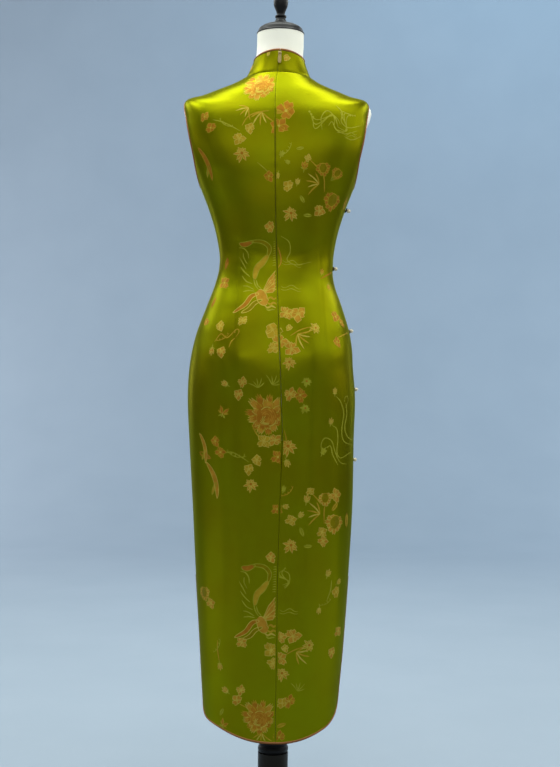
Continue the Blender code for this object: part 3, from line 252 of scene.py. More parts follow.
TAB_SWELL, TAB_SQUARE, TAB_HOLE_SQUARE, TAB_EDGE = 0.9, 0.45, 0.5, 0.2
HOOK_WIDTH, HOOK_LENGTH, HOOK_WIRE, HOOK_RISE = 1.6, 3.2, 0.45, 0.93
HOOK_WAIST, HOOK_BEND, HOOK_POINTS, HOOK_SIDES = 0.6, 0.4, 9, 8
PEARL_RADIUS, PEARL_HEIGHT, SHANK_RADIUS = 4.0, 6.6, 1.0
PEARL_SIDES, PEARL_ROWS, SHANK_END = 28, 22, 0.95
PEARL_FOOT, PEARL_TOP = math.radians(-64), math.pi / 2 - 0.02
CORD_RADIUS, PLIES, CORD_TWIST, PLY_RELIEF = 1.35, 2, 0.22, 0.28
CORD_SIDES, CORD_FINER, BED_WINDOW, EYE_POINTS, LEG_POINTS = 10, 4, 5, 19, 27
EYE_RADIUS, EYE_TURN, LEG_START, LEG_LENGTH, CORD_LIFT = 3.4, 2.2, 1.5, 26.0, 0.5
FORM_COLUMNS = 128
YOKE_END = (4, 5)           # the stations between which the form's clearance changes
FORM_ROW_STEP, COLLAR_RINGS, NECK_RINGS = 9.0, (0.2, 1.0, 7), 5
BULGE_CLEAR, LEAST_EDGE = 1.0, 0.1
SHARP, CORNER = math.radians(40), math.radians(60)  # what isn't smoothed, and what is bevelled
RIGHT_BULGE = 1.9           # the form shows more in its right armhole
POLE_RADIUS, POLE_RINGS, TURN_STEPS = 19.0, 9, 4

WEAVE, PICKS, FLOAT_LENGTH, WEAVE_DEPTH, CLOUDS_PER_METRE = 3200.0, 0.37, 0.16, 0.00004, 9.0

SWEEP_NEAR, SWEEP_FOOT, SWEEP_CURVE, SWEEP_HEIGHT, SWEEP_SIDE = 6500, -4000, 2000, 6000, 7000
SWEEP_POINTS = 25
HIGH, LOW, PLAIN, COOL = (0.95, 1.0, 0.95), (1.0, 0.92, 0.84), (1.0, 1.0, 1.0), (0.62, 0.86, 1.0)
LOW_REACH = 10              # the panels lower than this have the floor's warm light
# Two lights overhead, three at the floor and four for the wall behind, in metres and watts. Their
# powers, and the ones of PANELS, started from a fit to the photo's brightness.
Light = namedtuple("Light", "name place size power colour aim")
LIGHTS = [
    Light("overhead", (0.0, -0.3, 3.5), (2.6, 1.2), 66.0, HIGH, (0, -0.299, 0)),
    Light("overhead near", (0.0, 1.0, 3.5), (2.6, 1.2), 27.0, HIGH, (0, 1.001, 0)),
    Light("floor", (0.0, 2.35, 0.02), (3.0, 1.7), 2.0, LOW, (0, 2.351, 3)),
    Light("floor left", (2.2, 1.0, 0.02), (2.4, 2.2), 5.0, LOW, (2.2, 1.001, 3)),
    Light("floor right", (-2.2, 1.0, 0.02), (2.4, 2.2), 3.6, LOW, (-2.2, 1.001, 3)),
    Light("wall left", (1.9, -3.4, 4.6), (3.0, 1.0), 30.0, PLAIN, (1.6, -6.0, 2.0)),
    Light("wall right", (-1.9, -3.4, 4.6), (3.0, 1.0), 104.0, COOL, (-1.6, -6.0, 2.0)),
    Light("wall left low", (3.6, -3.6, 1.2), (1.4, 1.4), 66.0, PLAIN, (1.6, -5.0, 0.4)),
    Light("wall right low", (-3.6, -3.6, 1.2), (1.4, 1.4), 34.0, PLAIN, (-1.6, -5.0, 0.4)),
]
# Panels round the garment, each at an azimuth from the camera's side and an elevation from
# PANEL_CENTRE, in degrees.
PANEL_CENTRE, PANEL_DISTANCE, PANEL_HEIGHT = (0.0, 0.0, 1.05), 3.2, 0.85
Panel = namedtuple("Panel", "azimuth elevation width power")
PANELS = [
    Panel(0, 3, 3.8, 4.4), Panel(0, 18, 3.8, 13.2), Panel(22, 48, 1.9, 10.7),
    Panel(-22, 48, 1.9, 6.3), Panel(62, 3, 1.9, 1.8), Panel(62, 48, 1.9, 6.3),
    Panel(-62, 3, 1.9, 2.4), Panel(-62, 18, 1.9, 4.3), Panel(-62, 33, 1.9, 5.6),
    Panel(-62, 48, 1.9, 9.7), Panel(95, 8, 1.8, 2.9), Panel(95, 28, 1.8, 2.4),
    Panel(95, 48, 1.8, 30.0), Panel(-95, 8, 1.8, 6.1), Panel(-95, 28, 1.8, 8.9),
    Panel(125, 28, 1.8, 19.4), Panel(-125, 28, 1.8, 18.2), Panel(180, 12, 3.8, 6.0),
    Panel(180, 40, 3.8, 9.0),
]
WORLD_COLOUR, WORLD_STRENGTH = (0.70, 0.76, 0.85), 0.168
# Satins: a darker and a lighter tone, and what they reflect.
Cloth = namedtuple("Cloth", "name dark light roughness metallic glint", defaults=[(1.0, 1.0, 1.0)])
CLOTHS = {
    "copper_binding": Cloth("copper_satin", (0.225, 0.081, 0.022), (0.312, 0.125, 0.038),
                            0.42, 0.7),
    "dark_cord": Cloth("dark_cord", (0.019, 0.014, 0.004), (0.031, 0.024, 0.0075), 0.5, 0.1),
    "lime_brocade": Cloth("lime_satin", (0.20, 0.188, 0.0012), (0.212, 0.231, 0.0019),
                          0.34, 0.92, (0.5, 0.5, 0.05)),
}
# Hard finishes. grain is its lumps per metre, stretched along the axes, and depth is in metres.
Solid = namedtuple("Solid", "name dark light roughness metallic coat grain stretch depth glint",
                   defaults=[0.0, 0.0, 60.0, (1.0, 1.0, 1.0), 0.00003, (1.0, 1.0, 1.0)])
BLACK_GLINT = (0.30, 0.30, 0.30)
SOLIDS = {
    "zip_tape": Solid("zip_tape", (0.019, 0.022, 0.0025), (0.031, 0.034, 0.004), 0.8,
                      grain=900.0),
    "pearl": Solid("pearl_glaze", (0.72, 0.62, 0.42), (0.82, 0.74, 0.56), 0.25, coat=0.6,
                   grain=200.0),
    "zip_coil": Solid("coil", (0.031, 0.034, 0.006), (0.050, 0.053, 0.0125), 0.4),
    "zip_metal": Solid("pale_gold", (0.29, 0.21, 0.08), (0.375, 0.29, 0.13), 0.42,
                       metallic=1.0, grain=900.0),
    "hook_steel": Solid("hook_steel", (0.0125, 0.0125, 0.0125), (0.031, 0.031, 0.031), 0.35,
                        metallic=0.8, grain=900.0),
    "black_wood": Solid("black_lacquer", (0.0062, 0.0062, 0.0068), (0.010, 0.0095, 0.0095),
                        0.42, coat=0.03, grain=40.0, glint=BLACK_GLINT),
    "column_wood": Solid("dark_wood", (0.0125, 0.011, 0.008), (0.0225, 0.020, 0.0145), 0.5,
                         grain=30.0, stretch=(1.0, 1.0, 0.06), depth=0.00015,
                         glint=BLACK_GLINT),
}
PAPER = Solid("paper", (0.293, 0.355, 0.430), (0.305, 0.367, 0.442), 0.9, grain=3.0, depth=0.0)
CLOUD_STOPS, GRAIN_STOPS, GRAIN_DETAIL = (0.3, 0.7), (0.35, 0.65), 4.0
Tones = namedtuple("Tones", "dark light")
JERSEY = Tones((0.95, 0.93, 0.80), (0.97, 0.95, 0.84))
JERSEY_ROUGHNESS, JERSEY_SHEEN, JERSEY_CLOUDS = 0.85, 0.2, 14.0
WALES, WALE_LENGTH, WALE_DEPTH = 900.0, 0.25, 0.0002

# ---------------------------------------------------------------- the brocade's motifs
THREAD_LIFT, THREAD_FULL, VEIN = 0.22, 0.04, 0.9
STEM_WIDTH, SCROLL_WIDTH = 2.2, 2.0
WEAVE_EDGE, WEAVE_TOP, WEAVE_FOOT = 2.2, 0.05, 0.02
PIXEL_SIZE = 1.93
PHOTO_MIDDLE = (280.0, 383.5)
CAST_ROUNDS, CAST_DEPTH, CAST_STEP, CAST_RATE, CAST_MOST = 14, 100.0, 0.01, -15.0, 2
LEAF_WIDTH, SPRAY_LEAVES, SPRAY_SPREAD = 0.36, 5, 140
EDGE, THREAD_LAYER = 1.45, 0.05
RAGGED_DIP, RAGGED_BOW = 0.26, 0.18
PLUME_BOW, PLUME_WIDTH = 0.12, 0.13
PEONY_SET, PEONY_BOWL = (0.03, 0.10), 0.235
Frill = namedtuple("Frill", "root reach width points count start layer")
PEONY_FRILLS = [
    Frill(0.14, 0.47, 0.150, 3, 13, 0.0, 0), Frill(0.14, 0.35, 0.130, 2, 12, 0.5, 2),
]
Arc = namedtuple("Arc", "reach width sink count gap start")
PEONY_ARCS = [
    Arc(0.212, 0.026, 0.010, 5, 10, 20), Arc(0.170, 0.026, 0.018, 4, 16, 55),
    Arc(0.130, 0.024, 0.028, 3, 22, 10), Arc(0.092, 0.024, 0.036, 3, 30, 70),
    Arc(0.056, 0.022, 0.044, 2, 44, 0), Arc(0.022, 0.022, 0.050, 1, 60, 0),
]

# The bird's strokes, in shares of its size, (right, down) of its middle. A stroke with no edge
# is a single thread.
Stroke = namedtuple("Stroke", "fill edge width taper line")
BIRD_STROKES = [
    Stroke("copper", "pale", 0.062, 0.0, [(-0.25, -0.38), (-0.18, -0.37), (-0.09, -0.41)]),
    Stroke("olive", "pale", 0.044, 0.4, [(-0.12, -0.41), (0.0, -0.40), (0.07, -0.33), (0.06, -0.23)]),
    Stroke("gold", "pale", 0.070, 0.3, [(0.06, -0.24), (0.0, -0.15), (-0.06, -0.08), (-0.08, 0.04)]),
    Stroke("pale", "", 0.014, 0.5, [(-0.09, 0.03), (-0.07, 0.10), (-0.03, 0.16)]),
    Stroke("pale", "", 0.014, 0.5, [(-0.06, 0.05), (-0.04, 0.11), (0.0, 0.15)]),
    Stroke("peach", "light", 0.110, 0.4, [(-0.04, 0.18), (0.0, 0.22), (0.03, 0.29), (0.08, 0.31)]),
    Stroke("copper", "light", 0.050, 0.1, [(-0.02, 0.21), (-0.10, 0.24), (-0.17, 0.34), (-0.30, 0.42)]),
    Stroke("olive", "light", 0.044, 0.1, [(0.02, 0.28), (-0.06, 0.32), (-0.12, 0.39), (-0.20, 0.43)]),
    Stroke("gold", "", 0.024, 0.2, [(0.06, 0.28), (0.11, 0.25), (0.14, 0.27), (0.17, 0.25)]),
    Stroke("gold", "", 0.024, 0.2, [(0.07, 0.31), (0.11, 0.33), (0.14, 0.31), (0.18, 0.33)]),
    Stroke("light", "", 0.022, 0.2, [(0.04, 0.34), (0.08, 0.37), (0.12, 0.35), (0.17, 0.37)]),
    Stroke("pale", "", 0.018, 0.2, [(0.06, 0.38), (0.09, 0.40), (0.13, 0.39), (0.16, 0.39)]),
    Stroke("pale", "", 0.015, 0.3, [(-0.26, -0.33), (-0.20, -0.32), (-0.16, -0.27), (-0.15, -0.20)]),
    Stroke("pale", "", 0.015, 0.3, [(-0.21, -0.27), (-0.21, -0.21), (-0.17, -0.14)]),
    Stroke("pale", "", 0.015, 0.3, [(-0.27, -0.22), (-0.23, -0.16), (-0.18, -0.08)]),
    Stroke("pale", "", 0.015, 0.3, [(-0.25, -0.11), (-0.20, -0.05), (-0.13, 0.01)]),
    Stroke("pale", "", 0.015, 0.3, [(-0.23, -0.01), (-0.17, 0.06), (-0.10, 0.09)]),
    Stroke("pale", "", 0.015, 0.3, [(-0.21, 0.11), (-0.15, 0.12), (-0.08, 0.16)]),
    Stroke("pale", "", 0.015, 0.3, [(-0.20, 0.18), (-0.14, 0.17), (-0.07, 0.18)]),
]
BIRD_QUILLS, BIRD_WING_LEAN, BIRD_WING_STEP, BIRD_BARBS = 6, 26.0, 9.5, 11

# Motifs by the pixel of their middle, with their size in millimetres.
Motif = namedtuple("Motif", "kind u v size turn colour")
MOTIFS = [
    Motif("peony", 259, 85, 74, -12, "peach"),
    Motif("spray", 262, 112, 34, 185, "gold"),
    Motif("spray", 249, 108, 29, 225, "gold"),
    Motif("leaf", 270, 111, 26, 96, "gold"),
    Motif("blossom", 205, 117, 20, 10, "copper"),
    Motif("blossom", 211, 128, 21, 40, "copper"),
    Motif("sprig", 226, 124, 34, 24, "pale"),
    Motif("blossom", 250, 128, 22, 20, "gold"),
    Motif("blossom", 239, 139, 25, 0, "gold"),
    Motif("star", 242, 153, 35, 8, "peach"),
    Motif("blossom", 286, 111, 39, 10, "copper"),
    Motif("blossom", 279, 126, 38, 36, "copper"),
    Motif("sprig", 287, 150, 34, -50, "pale"),
    Motif("bud", 281, 156, 16, 20, "pale"),
    Motif("bud", 286, 161, 13, 120, "pale"),
    Motif("leaf", 296, 149, 16, 80, "pale"),
    Motif("blossom", 269, 176, 22, 0, "copper"),
    Motif("bud", 278, 173, 17, 200, "gold"),
    Motif("blossom", 288, 186, 21, 30, "gold"),
    Motif("bud", 297, 184, 16, 10, "gold"),
    Motif("leaf", 300, 195, 18, 150, "pale"),
    Motif("blossom", 308, 158, 14, 0, "gold"),
    Motif("bud", 304, 169, 23, 10, "copper"),
    Motif("ring", 323, 168, 34, 0, "copper"),
    Motif("ring", 337, 173, 29, 40, "copper"),
    Motif("spray", 319, 184, 34, -80, "gold"),
    Motif("leaf", 330, 181, 22, 40, "pale"),
    Motif("ring", 332, 200, 47, 20, "copper"),
    Motif("blossom", 319, 211, 25, 15, "peach"),
    Motif("leaf", 347, 196, 31, 178, "gold"),
    Motif("star", 291, 213, 34, 30, "peach"),
    Motif("leaf", 303, 215, 18, 92, "pale"),
    Motif("blossom", 270, 227, 21, 0, "peach"),
    Motif("plume", 205, 164, 70, -22, "copper"),
    Motif("scroll", 325, 118, 65, 28, "pale"),
    Motif("scroll", 346, 124, 55, 150, "pale"),
    Motif("wave", 350, 134, 30, 4, "pale"),
    Motif("bird", 262, 276, 178, 0, "peach"),
    Motif("wave", 291, 287, 40, 4, "pale"),
    Motif("wave", 292, 262, 38, 10, "pale"),
    Motif("blossom", 225, 283, 29, 0, "copper"),
    Motif("leaf", 226, 270, 26, 10, "copper"),
    Motif("blossom", 243, 321, 20, 30, "gold"),
    Motif("curl", 237, 332, 18, 30, "gold"),
    Motif("blossom", 221, 326, 22, 0, "gold"),
    Motif("bud", 214, 348, 22, 180, "peach"),
    Motif("blossom", 223, 352, 22, 20, "peach"),
    Motif("sprig", 224, 338, 31, -30, "gold"),
    Motif("blossom", 286, 313, 29, 10, "peach"),
    Motif("blossom", 298, 314, 34, 40, "peach"),
    Motif("blossom", 289, 328, 13, 0, "gold"),
    Motif("spray", 297, 334, 36, 130, "gold"),
    Motif("star", 315, 328, 26, 60, "gold"),
    Motif("blossom", 273, 330, 36, 20, "gold"),
    Motif("blossom", 280, 342, 31, 5, "peach"),
    Motif("blossom", 274, 348, 26, 50, "gold"),
    Motif("blossom", 291, 349, 31, 20, "peach"),
    Motif("star", 289, 362, 29, 0, "peach"),
    Motif("bud", 321, 274, 16, 20, "copper"),
    Motif("bud", 328, 285, 18, 200, "copper"),
    Motif("blossom", 335, 317, 25, 10, "copper"),
    Motif("blossom", 341, 323, 18, 50, "copper"),
    Motif("blossom", 336, 342, 22, 0, "copper"),
    Motif("blossom", 207, 322, 18, 0, "copper"),
    Motif("leaf", 212, 308, 23, 10, "copper"),
    Motif("peony", 266, 412, 85, 8, "peach"),
    Motif("bud", 228, 385, 20, 300, "peach"),
    Motif("blossom", 243, 382, 20, 0, "peach"),
    Motif("blossom", 239, 394, 22, 30, "peach"),
    Motif("spray", 258, 388, 24, -8, "pale"),
    Motif("spray", 272, 385, 26, 25, "pale"),
    Motif("blossom", 290, 394, 26, 10, "peach"),
    Motif("blossom", 300, 395, 29, 40, "copper"),
    Motif("star", 306, 381, 22, 0, "pale"),
    Motif("star", 305, 408, 22, 20, "pale"),
    Motif("butterfly", 223, 414, 31, 20, "copper"),
    Motif("blossom", 264, 441, 29, 0, "gold"),
    Motif("blossom", 275, 440, 26, 40, "peach"),
    Motif("star", 288, 446, 39, 0, "peach"),
    Motif("blossom", 278, 457, 29, 10, "copper"),
    Motif("bud", 286, 460, 21, 160, "gold"),
    Motif("blossom", 257, 460, 22, 0, "gold"),
    Motif("blossom", 249, 469, 22, 30, "gold"),
    Motif("star", 251, 484, 31, 0, "peach"),
    Motif("blossom", 216, 441, 22, 0, "copper"),
    Motif("blossom", 221, 452, 23, 30, "copper"),
    Motif("sprig", 236, 455, 42, 14, "pale"),
    Motif("plume", 203, 448, 60, -14, "peach"),
    Motif("plume", 212, 480, 75, -20, "peach"),
    Motif("leaf", 200, 452, 34, 110, "peach"),
    Motif("bud", 334, 394, 18, 0, "gold"),
    Motif("bud", 330, 424, 18, 10, "gold"),
    Motif("bud", 322, 454, 20, 30, "pale"),
    Motif("curl", 345, 400, 26, 30, "pale"),
    Motif("sprig", 288, 492, 31, -40, "gold"),
    Motif("bud", 283, 491, 16, 10, "pale"),
    Motif("blossom", 277, 509, 23, 0, "copper"),
    Motif("bud", 283, 506, 17, 100, "gold"),
    Motif("blossom", 291, 520, 23, 20, "gold"),
    Motif("bud", 299, 517, 18, 40, "gold"),
    Motif("leaf", 300, 527, 20, 160, "pale"),
    Motif("blossom", 310, 491, 17, 0, "gold"),
    Motif("bud", 306, 502, 22, 10, "peach"),
    Motif("ring", 325, 498, 34, 0, "peach"),
    Motif("blossom", 335, 495, 29, 30, "peach"),
    Motif("spray", 320, 514, 36, -75, "gold"),
    Motif("leaf", 331, 511, 22, 40, "gold"),
    Motif("ring", 334, 522, 49, 20, "peach"),
    Motif("blossom", 322, 532, 23, 10, "gold"),
    Motif("blossom", 323, 541, 23, 40, "peach"),
    Motif("leaf", 346, 512, 31, 178, "gold"),
    Motif("star", 291, 545, 34, 30, "peach"),
    Motif("leaf", 303, 546, 18, 92, "pale"),
    Motif("blossom", 271, 557, 22, 0, "peach"),
    Motif("bird", 262, 602, 172, 2, "peach"),
    Motif("wave", 289, 610, 36, 2, "pale"),
    Motif("scroll", 285, 578, 39, 90, "pale"),
    Motif("blossom", 242, 642, 23, 0, "peach"),
    Motif("ring", 205, 592, 36, 0, "peach"),
    Motif("blossom", 211, 603, 23, 20, "peach"),
    Motif("bud", 327, 576, 20, 20, "gold"),
    Motif("bud", 336, 583, 18, 60, "gold"),
    Motif("blossom", 335, 592, 21, 0, "gold"),
    Motif("sprig", 325, 603, 31, -20, "pale"),
    Motif("bud", 319, 608, 17, 190, "gold"),
    Motif("blossom", 337, 631, 23, 0, "peach"),
    Motif("blossom", 331, 652, 22, 30, "peach"),
    Motif("sprig", 218, 646, 36, -60, "pale"),
    Motif("bud", 220, 663, 20, 170, "peach"),
    Motif("blossom", 293, 636, 31, 0, "peach"),
    Motif("blossom", 281, 637, 23, 30, "peach"),
    Motif("blossom", 285, 648, 16, 0, "gold"),
    Motif("spray", 296, 652, 36, 110, "gold"),
    Motif("star", 309, 645, 29, 60, "gold"),
    Motif("blossom", 271, 650, 31, 20, "gold"),
    Motif("blossom", 280, 658, 29, 5, "peach"),
    Motif("blossom", 273, 663, 23, 50, "gold"),
    Motif("star", 282, 673, 31, 0, "peach"),
    Motif("peony", 259, 715, 72, 10, "peach"),
    Motif("bud", 228, 692, 21, 300, "peach"),
    Motif("blossom", 241, 690, 20, 0, "peach"),
    Motif("blossom", 237, 700, 21, 30, "peach"),
    Motif("leaf", 224, 708, 18, 200, "pale"),
    Motif("blossom", 289, 701, 26, 10, "copper"),
    Motif("blossom", 282, 703, 21, 40, "gold"),
    Motif("spray", 297, 691, 23, 20, "pale"),
    Motif("spray", 262, 733, 29, 180, "gold"),
    Motif("leaf", 276, 727, 21, 70, "gold"),
    Motif("blossom", 279, 737, 26, 0, "copper"),
    Motif("butterfly", 223, 725, 26, 20, "copper"),
]

Twig = namedtuple("Twig", "colour line")
TWIGS = [                   # by the pixels of their points
    Twig("gold", [(242, 126), (246, 119), (251, 115), (260, 112), (269, 111)]),
    Twig("pale", [(213, 120), (222, 122), (231, 126), (240, 131)]),
    Twig("pale", [(257, 162), (264, 168), (270, 174)]),
    Twig("gold", [(323, 172), (324, 181), (324, 192)]),
    Twig("gold", [(310, 160), (316, 166), (320, 172)]),
    Twig("gold", [(216, 342), (222, 334), (228, 338), (236, 330)]),
    Twig("gold", [(236, 338), (232, 342), (230, 348)]),
    Twig("gold", [(290, 336), (300, 330), (311, 327)]),
    Twig("gold", [(336, 338), (343, 335), (350, 331)]),
    Twig("copper", [(320, 279), (327, 275), (334, 270)]),
    Twig("pale", [(335, 396), (340, 402), (343, 414), (341, 430), (343, 441), (351, 445)]),
    Twig("pale", [(345, 403), (346, 414), (344, 428), (347, 437), (352, 440)]),
    Twig("pale", [(331, 425), (336, 429), (337, 440), (336, 452), (340, 458), (350, 452)]),
    Twig("pale", [(322, 452), (321, 444), (325, 438), (331, 441), (334, 451), (339, 462), (346, 464)]),
    Twig("pale", [(326, 448), (330, 446), (332, 455), (337, 465)]),
    Twig("pale", [(322, 130), (321, 118), (327, 111), (334, 117), (338, 128)]),
    Twig("pale", [(328, 126), (332, 122), (336, 130), (345, 134), (357, 131)]),
    Twig("pale", [(336, 106), (342, 113), (341, 122), (348, 128), (360, 126)]),
    Twig("pale", [(345, 138), (352, 140), (361, 136)]),
    Twig("peach", [(269, 241), (278, 248), (281, 262), (276, 270)]),
    Twig("pale", [(281, 236), (289, 242), (290, 252), (287, 260), (296, 265), (311, 262)]),
    Twig("pale", [(283, 570), (289, 574), (289, 583), (284, 588)]),
    Twig("pale", [(222, 454), (231, 452), (240, 456), (249, 462)]),
    Twig("gold", [(252, 424), (256, 433), (262, 440)]),
    Twig("gold", [(284, 430), (286, 438), (286, 446)]),
    Twig("gold", [(325, 503), (324, 512), (324, 524)]),
    Twig("gold", [(311, 493), (317, 499), (321, 505)]),
    Twig("gold", [(218, 640), (218, 650), (220, 662)]),
    Twig("gold", [(285, 655), (294, 650), (306, 646)]),
    Twig("pale", [(331, 580), (330, 590), (326, 602)]),
    Twig("gold", [(240, 704), (246, 707), (250, 711)]),
]

# Thread colours: their darker and lighter tones.
THREADS = {
    "copper": Tones((0.3125, 0.125, 0.0075), (0.4125, 0.175, 0.0125)),
    "peach": Tones((0.375, 0.1812, 0.01375), (0.475, 0.2437, 0.0225)),
    "gold": Tones((0.35, 0.225, 0.01125), (0.4375, 0.2937, 0.01875)),
    "light": Tones((0.4125, 0.3125, 0.03437), (0.5125, 0.4, 0.05312)),
    "pale": Tones((0.265, 0.262, 0.012), (0.35, 0.345, 0.024)),
    "olive": Tones((0.1875, 0.15, 0.001875), (0.2375, 0.1937, 0.003125)),
}
THREAD_EDGE = {"copper": "gold", "peach": "light", "gold": "light", "pale": "pale"}
THREAD_ROUGHNESS, THREAD_METALLIC, THREAD_CLOUDS = 0.46, 0.6, 90.0
THREAD_GLINT = (0.6, 0.5, 0.15)

# Motifs on the collar: their share of its height, and their angle from its centre back.
CollarMotif = namedtuple("CollarMotif", "side kind rise degrees size colour")
COLLAR_MOTIFS = [
    CollarMotif(RIGHT, "blossom", 0.62, 16, 13, "peach"),
    CollarMotif(RIGHT, "bud", 0.80, 64, 14, "pale"),
    CollarMotif(RIGHT, "star", 0.40, 122, 22, "gold"),
    CollarMotif(LEFT, "bud", 0.74, 24, 11, "peach"),
    CollarMotif(LEFT, "blossom", 0.45, 75, 18, "gold"),
    CollarMotif(LEFT, "star", 0.60, 140, 20, "peach"),
]

# Each piece of cloth laid flat, in metres, and the area of what shows of it, in square metres.
Cut = namedtuple("Cut", "piece width length area")

PHOTO_HEIGHT = 767
FOCAL_PIXELS = 1300.0
SENSOR = 36.0
CAMERA_Y, CAMERA_Z = 2600.0, 860.0
CAMERA_X = -6.3
CAMERA_ROLL = math.radians(0.61)


# ---------------------------------------------------------------- the skin
NAMES = Ring._fields[1:]
VALUES = np.array([ring[1:] for ring in RINGS], float).T
SLOPES = np.gradient(VALUES, axis=1)


def eased(start, end, slope, end_slope, part):
    """Values a part of the way from start to end, on a smooth curve with these slopes."""
    return (
        start * (1 + 2 * part) * (1 - part) ** 2
        + slope * part * (1 - part) ** 2
        + end * part**2 * (3 - 2 * part)
        + end_slope * part**2 * (part - 1)
    )


def on_curve(rows, places):
    """Points of a smooth curve through rows, at places counted in rows."""
    slopes = np.gradient(rows, axis=0)
    low = np.minimum(places.astype(int), len(rows) - 2)
    part = (places - low)[:, None]
    return eased(rows[low], rows[low + 1], slopes[low], slopes[low + 1], part)


def smoothed(line, steps):
    """A line with more points, on a smooth curve through its own."""
    line = np.asarray(line, float)
    return on_curve(line, np.linspace(0, len(line) - 1, (len(line) - 1) * steps + 1))


def columns(station):
    """Every ring column between its rows, on a smooth curve through them, by name."""
    station = np.clip(np.asarray(station, float), 0, len(RINGS) - 1)
    low = np.minimum(station.astype(int), len(RINGS) - 2)
    values = eased(VALUES[:, low], VALUES[:, low + 1], SLOPES[:, low], SLOPES[:, low + 1],
                   station - low)
    return dict(zip(NAMES, values))


def column(name, station):
    return columns(station)[name]


def superellipse(ring, angle):
    """Points of a ring whose columns are numbers or arrays."""
    sine, cosine = np.sin(angle), np.cos(angle)
    power = 2.0 / ring["square"]
    behind = cosine >= 0
    depth = np.where(behind, ring["back"], ring["front"])
    end_z = np.where(behind, ring["back_z"], ring["front_z"])
    x = ring["centre"] + ring["half"] * np.sign(sine) * np.abs(sine) ** power
    y = np.where(behind, 1, -1) * depth * np.abs(cosine) ** power
    fall = np.abs(np.cos(angle + ring["lean"])) ** power
    z = ring["side_z"] + (end_z - ring["side_z"]) * fall ** ring["drop"]
    return np.stack(np.broadcast_arrays(x, y, z), axis=-1)


def skin(station, angle):
    """Points of the garment's skin, which is the model's cloth seen from inside."""
    angle = np.asarray(angle, float)
    points = superellipse(columns(station), angle)
    for rise in RISES:
        turn = (angle - rise.angle + math.pi) % (2 * math.pi) - math.pi
        share = np.exp(-((turn / rise.angle_spread) ** 2))
        share = share * np.exp(-(((points[..., 2] - rise.z) / rise.z_spread) ** 2))
        out = rise.amount * share
        points[..., 0] += out * math.sin(rise.angle)
        points[..., 1] += out * math.cos(rise.angle)
    return points


def unit(vectors):
    return vectors / np.linalg.norm(vectors, axis=-1, keepdims=True)


def round_turns(count):
    """Angles spread evenly over a full turn."""
    return np.linspace(0, 2 * math.pi, count, endpoint=False)


def lengths_along(points):
    """The length of a line of points from its first to each of them."""
    steps = np.linalg.norm(np.diff(points, axis=0), axis=1)
    return np.concatenate([[0.0], np.cumsum(steps)])


def tangents(station, angle):
    """The skin's two directions, per station and per radian."""
    down = (skin(station + NEAR, angle) - skin(station - NEAR, angle)) / (2 * NEAR)
    at_top = np.asarray(station) <= NEAR
    if np.any(at_top):
        one_sided = (skin(station + NEAR, angle) - skin(station, angle)) / NEAR
        down = np.where(np.broadcast_to(at_top, down.shape[:-1])[..., None], one_sided, down)
    round_it = (skin(station, angle + NEAR) - skin(station, angle - NEAR)) / (2 * NEAR)
    return down, round_it


def normals(station, angle):
    down, round_it = tangents(np.asarray(station, float), np.asarray(angle, float))
    return unit(np.cross(round_it, down))


def folds_at(points, angle):
    """How far the folds lift or sink the cloth at some of its points."""
    behind = np.cos(angle) >= 0
    height = np.zeros(points.shape[:-1])
    for fold in FOLDS:
        lean = math.radians(fold.lean)
        across, up = points[..., 0] - fold.x, points[..., 2] - fold.z
        along = up * math.cos(lean) + across * math.sin(lean)
        aside = across * math.cos(lean) - up * math.sin(lean)
        share = np.exp(-((aside / fold.width) ** 2) - (along / fold.length) ** 4)
        here = behind if fold.side == BACK else ~behind
        height += fold.depth * share * here
    return height + np.where(behind, puckers(points), 0.0)


def puckers(points):
    """How far the stitching lifts and draws in the cloth beside the centre back seam."""
    heights, seams = VALUES[NAMES.index("side_z")], VALUES[NAMES.index("seam_x")]
    from_seam = points[..., 0] - np.interp(points[..., 2], heights[::-1], seams[::-1])
    beat = np.sin(2 * math.pi * points[..., 2] / PUCKER_STEP)
    beat = beat + np.sin(points[..., 2] / PUCKER_SWAY)
    return PUCKER_DEPTH * beat * np.exp(-((from_seam / PUCKER_REACH) ** 2))


def lifted(station, angle, height):
    """Points over the skin, on the folds."""
    points = skin(station, angle)
    height = np.asarray(height, float) + folds_at(points, angle)
    return points + height[..., None] * normals(station, angle)


ARC_ANGLES = np.linspace(-math.pi, 2 * math.pi, 1081)


@lru_cache(maxsize=None)
def arc_table(station):
    """Lengths along a station's ring from the centre back, at ARC_ANGLES."""
    lengths = lengths_along(skin(station, ARC_ANGLES))
    return lengths - np.interp(0.0, ARC_ANGLES, lengths)


def arc(station, angle):
    return float(np.interp(angle, ARC_ANGLES, arc_table(float(station))))


def angle_of(station, length):
    return np.interp(length, arc_table(float(station)), ARC_ANGLES)


def shifted(station, angle, distance):
    """The angle that lies a distance further round the ring."""
    return float(angle_of(station, arc(station, angle) + distance))


def angle_at_x(ring, x):
    """The angle where a ring's back half crosses x."""
    share = np.clip((x - ring["centre"]) / ring["half"], -1, 1)
    return np.arcsin(np.sign(share) * np.abs(share) ** (ring["square"] / 2))


def back_seam(station):
    """The angle of the centre back seam."""
    ring = columns(station)
    return angle_at_x(ring, ring["seam_x"])


# ---------------------------------------------------------------- edges on the skin
def armhole_span(inset):
    """First and last station of an armhole that is this much larger all round."""
    ridge = np.linalg.norm(skin(ARMHOLE_TOP, LEFT) - skin(ARMHOLE_TOP - 1, LEFT))
    side = np.linalg.norm(skin(ARMHOLE_FOOT + 1, LEFT) - skin(ARMHOLE_FOOT, LEFT))
    return ARMHOLE_TOP - inset / ridge, ARMHOLE_FOOT + inset / side


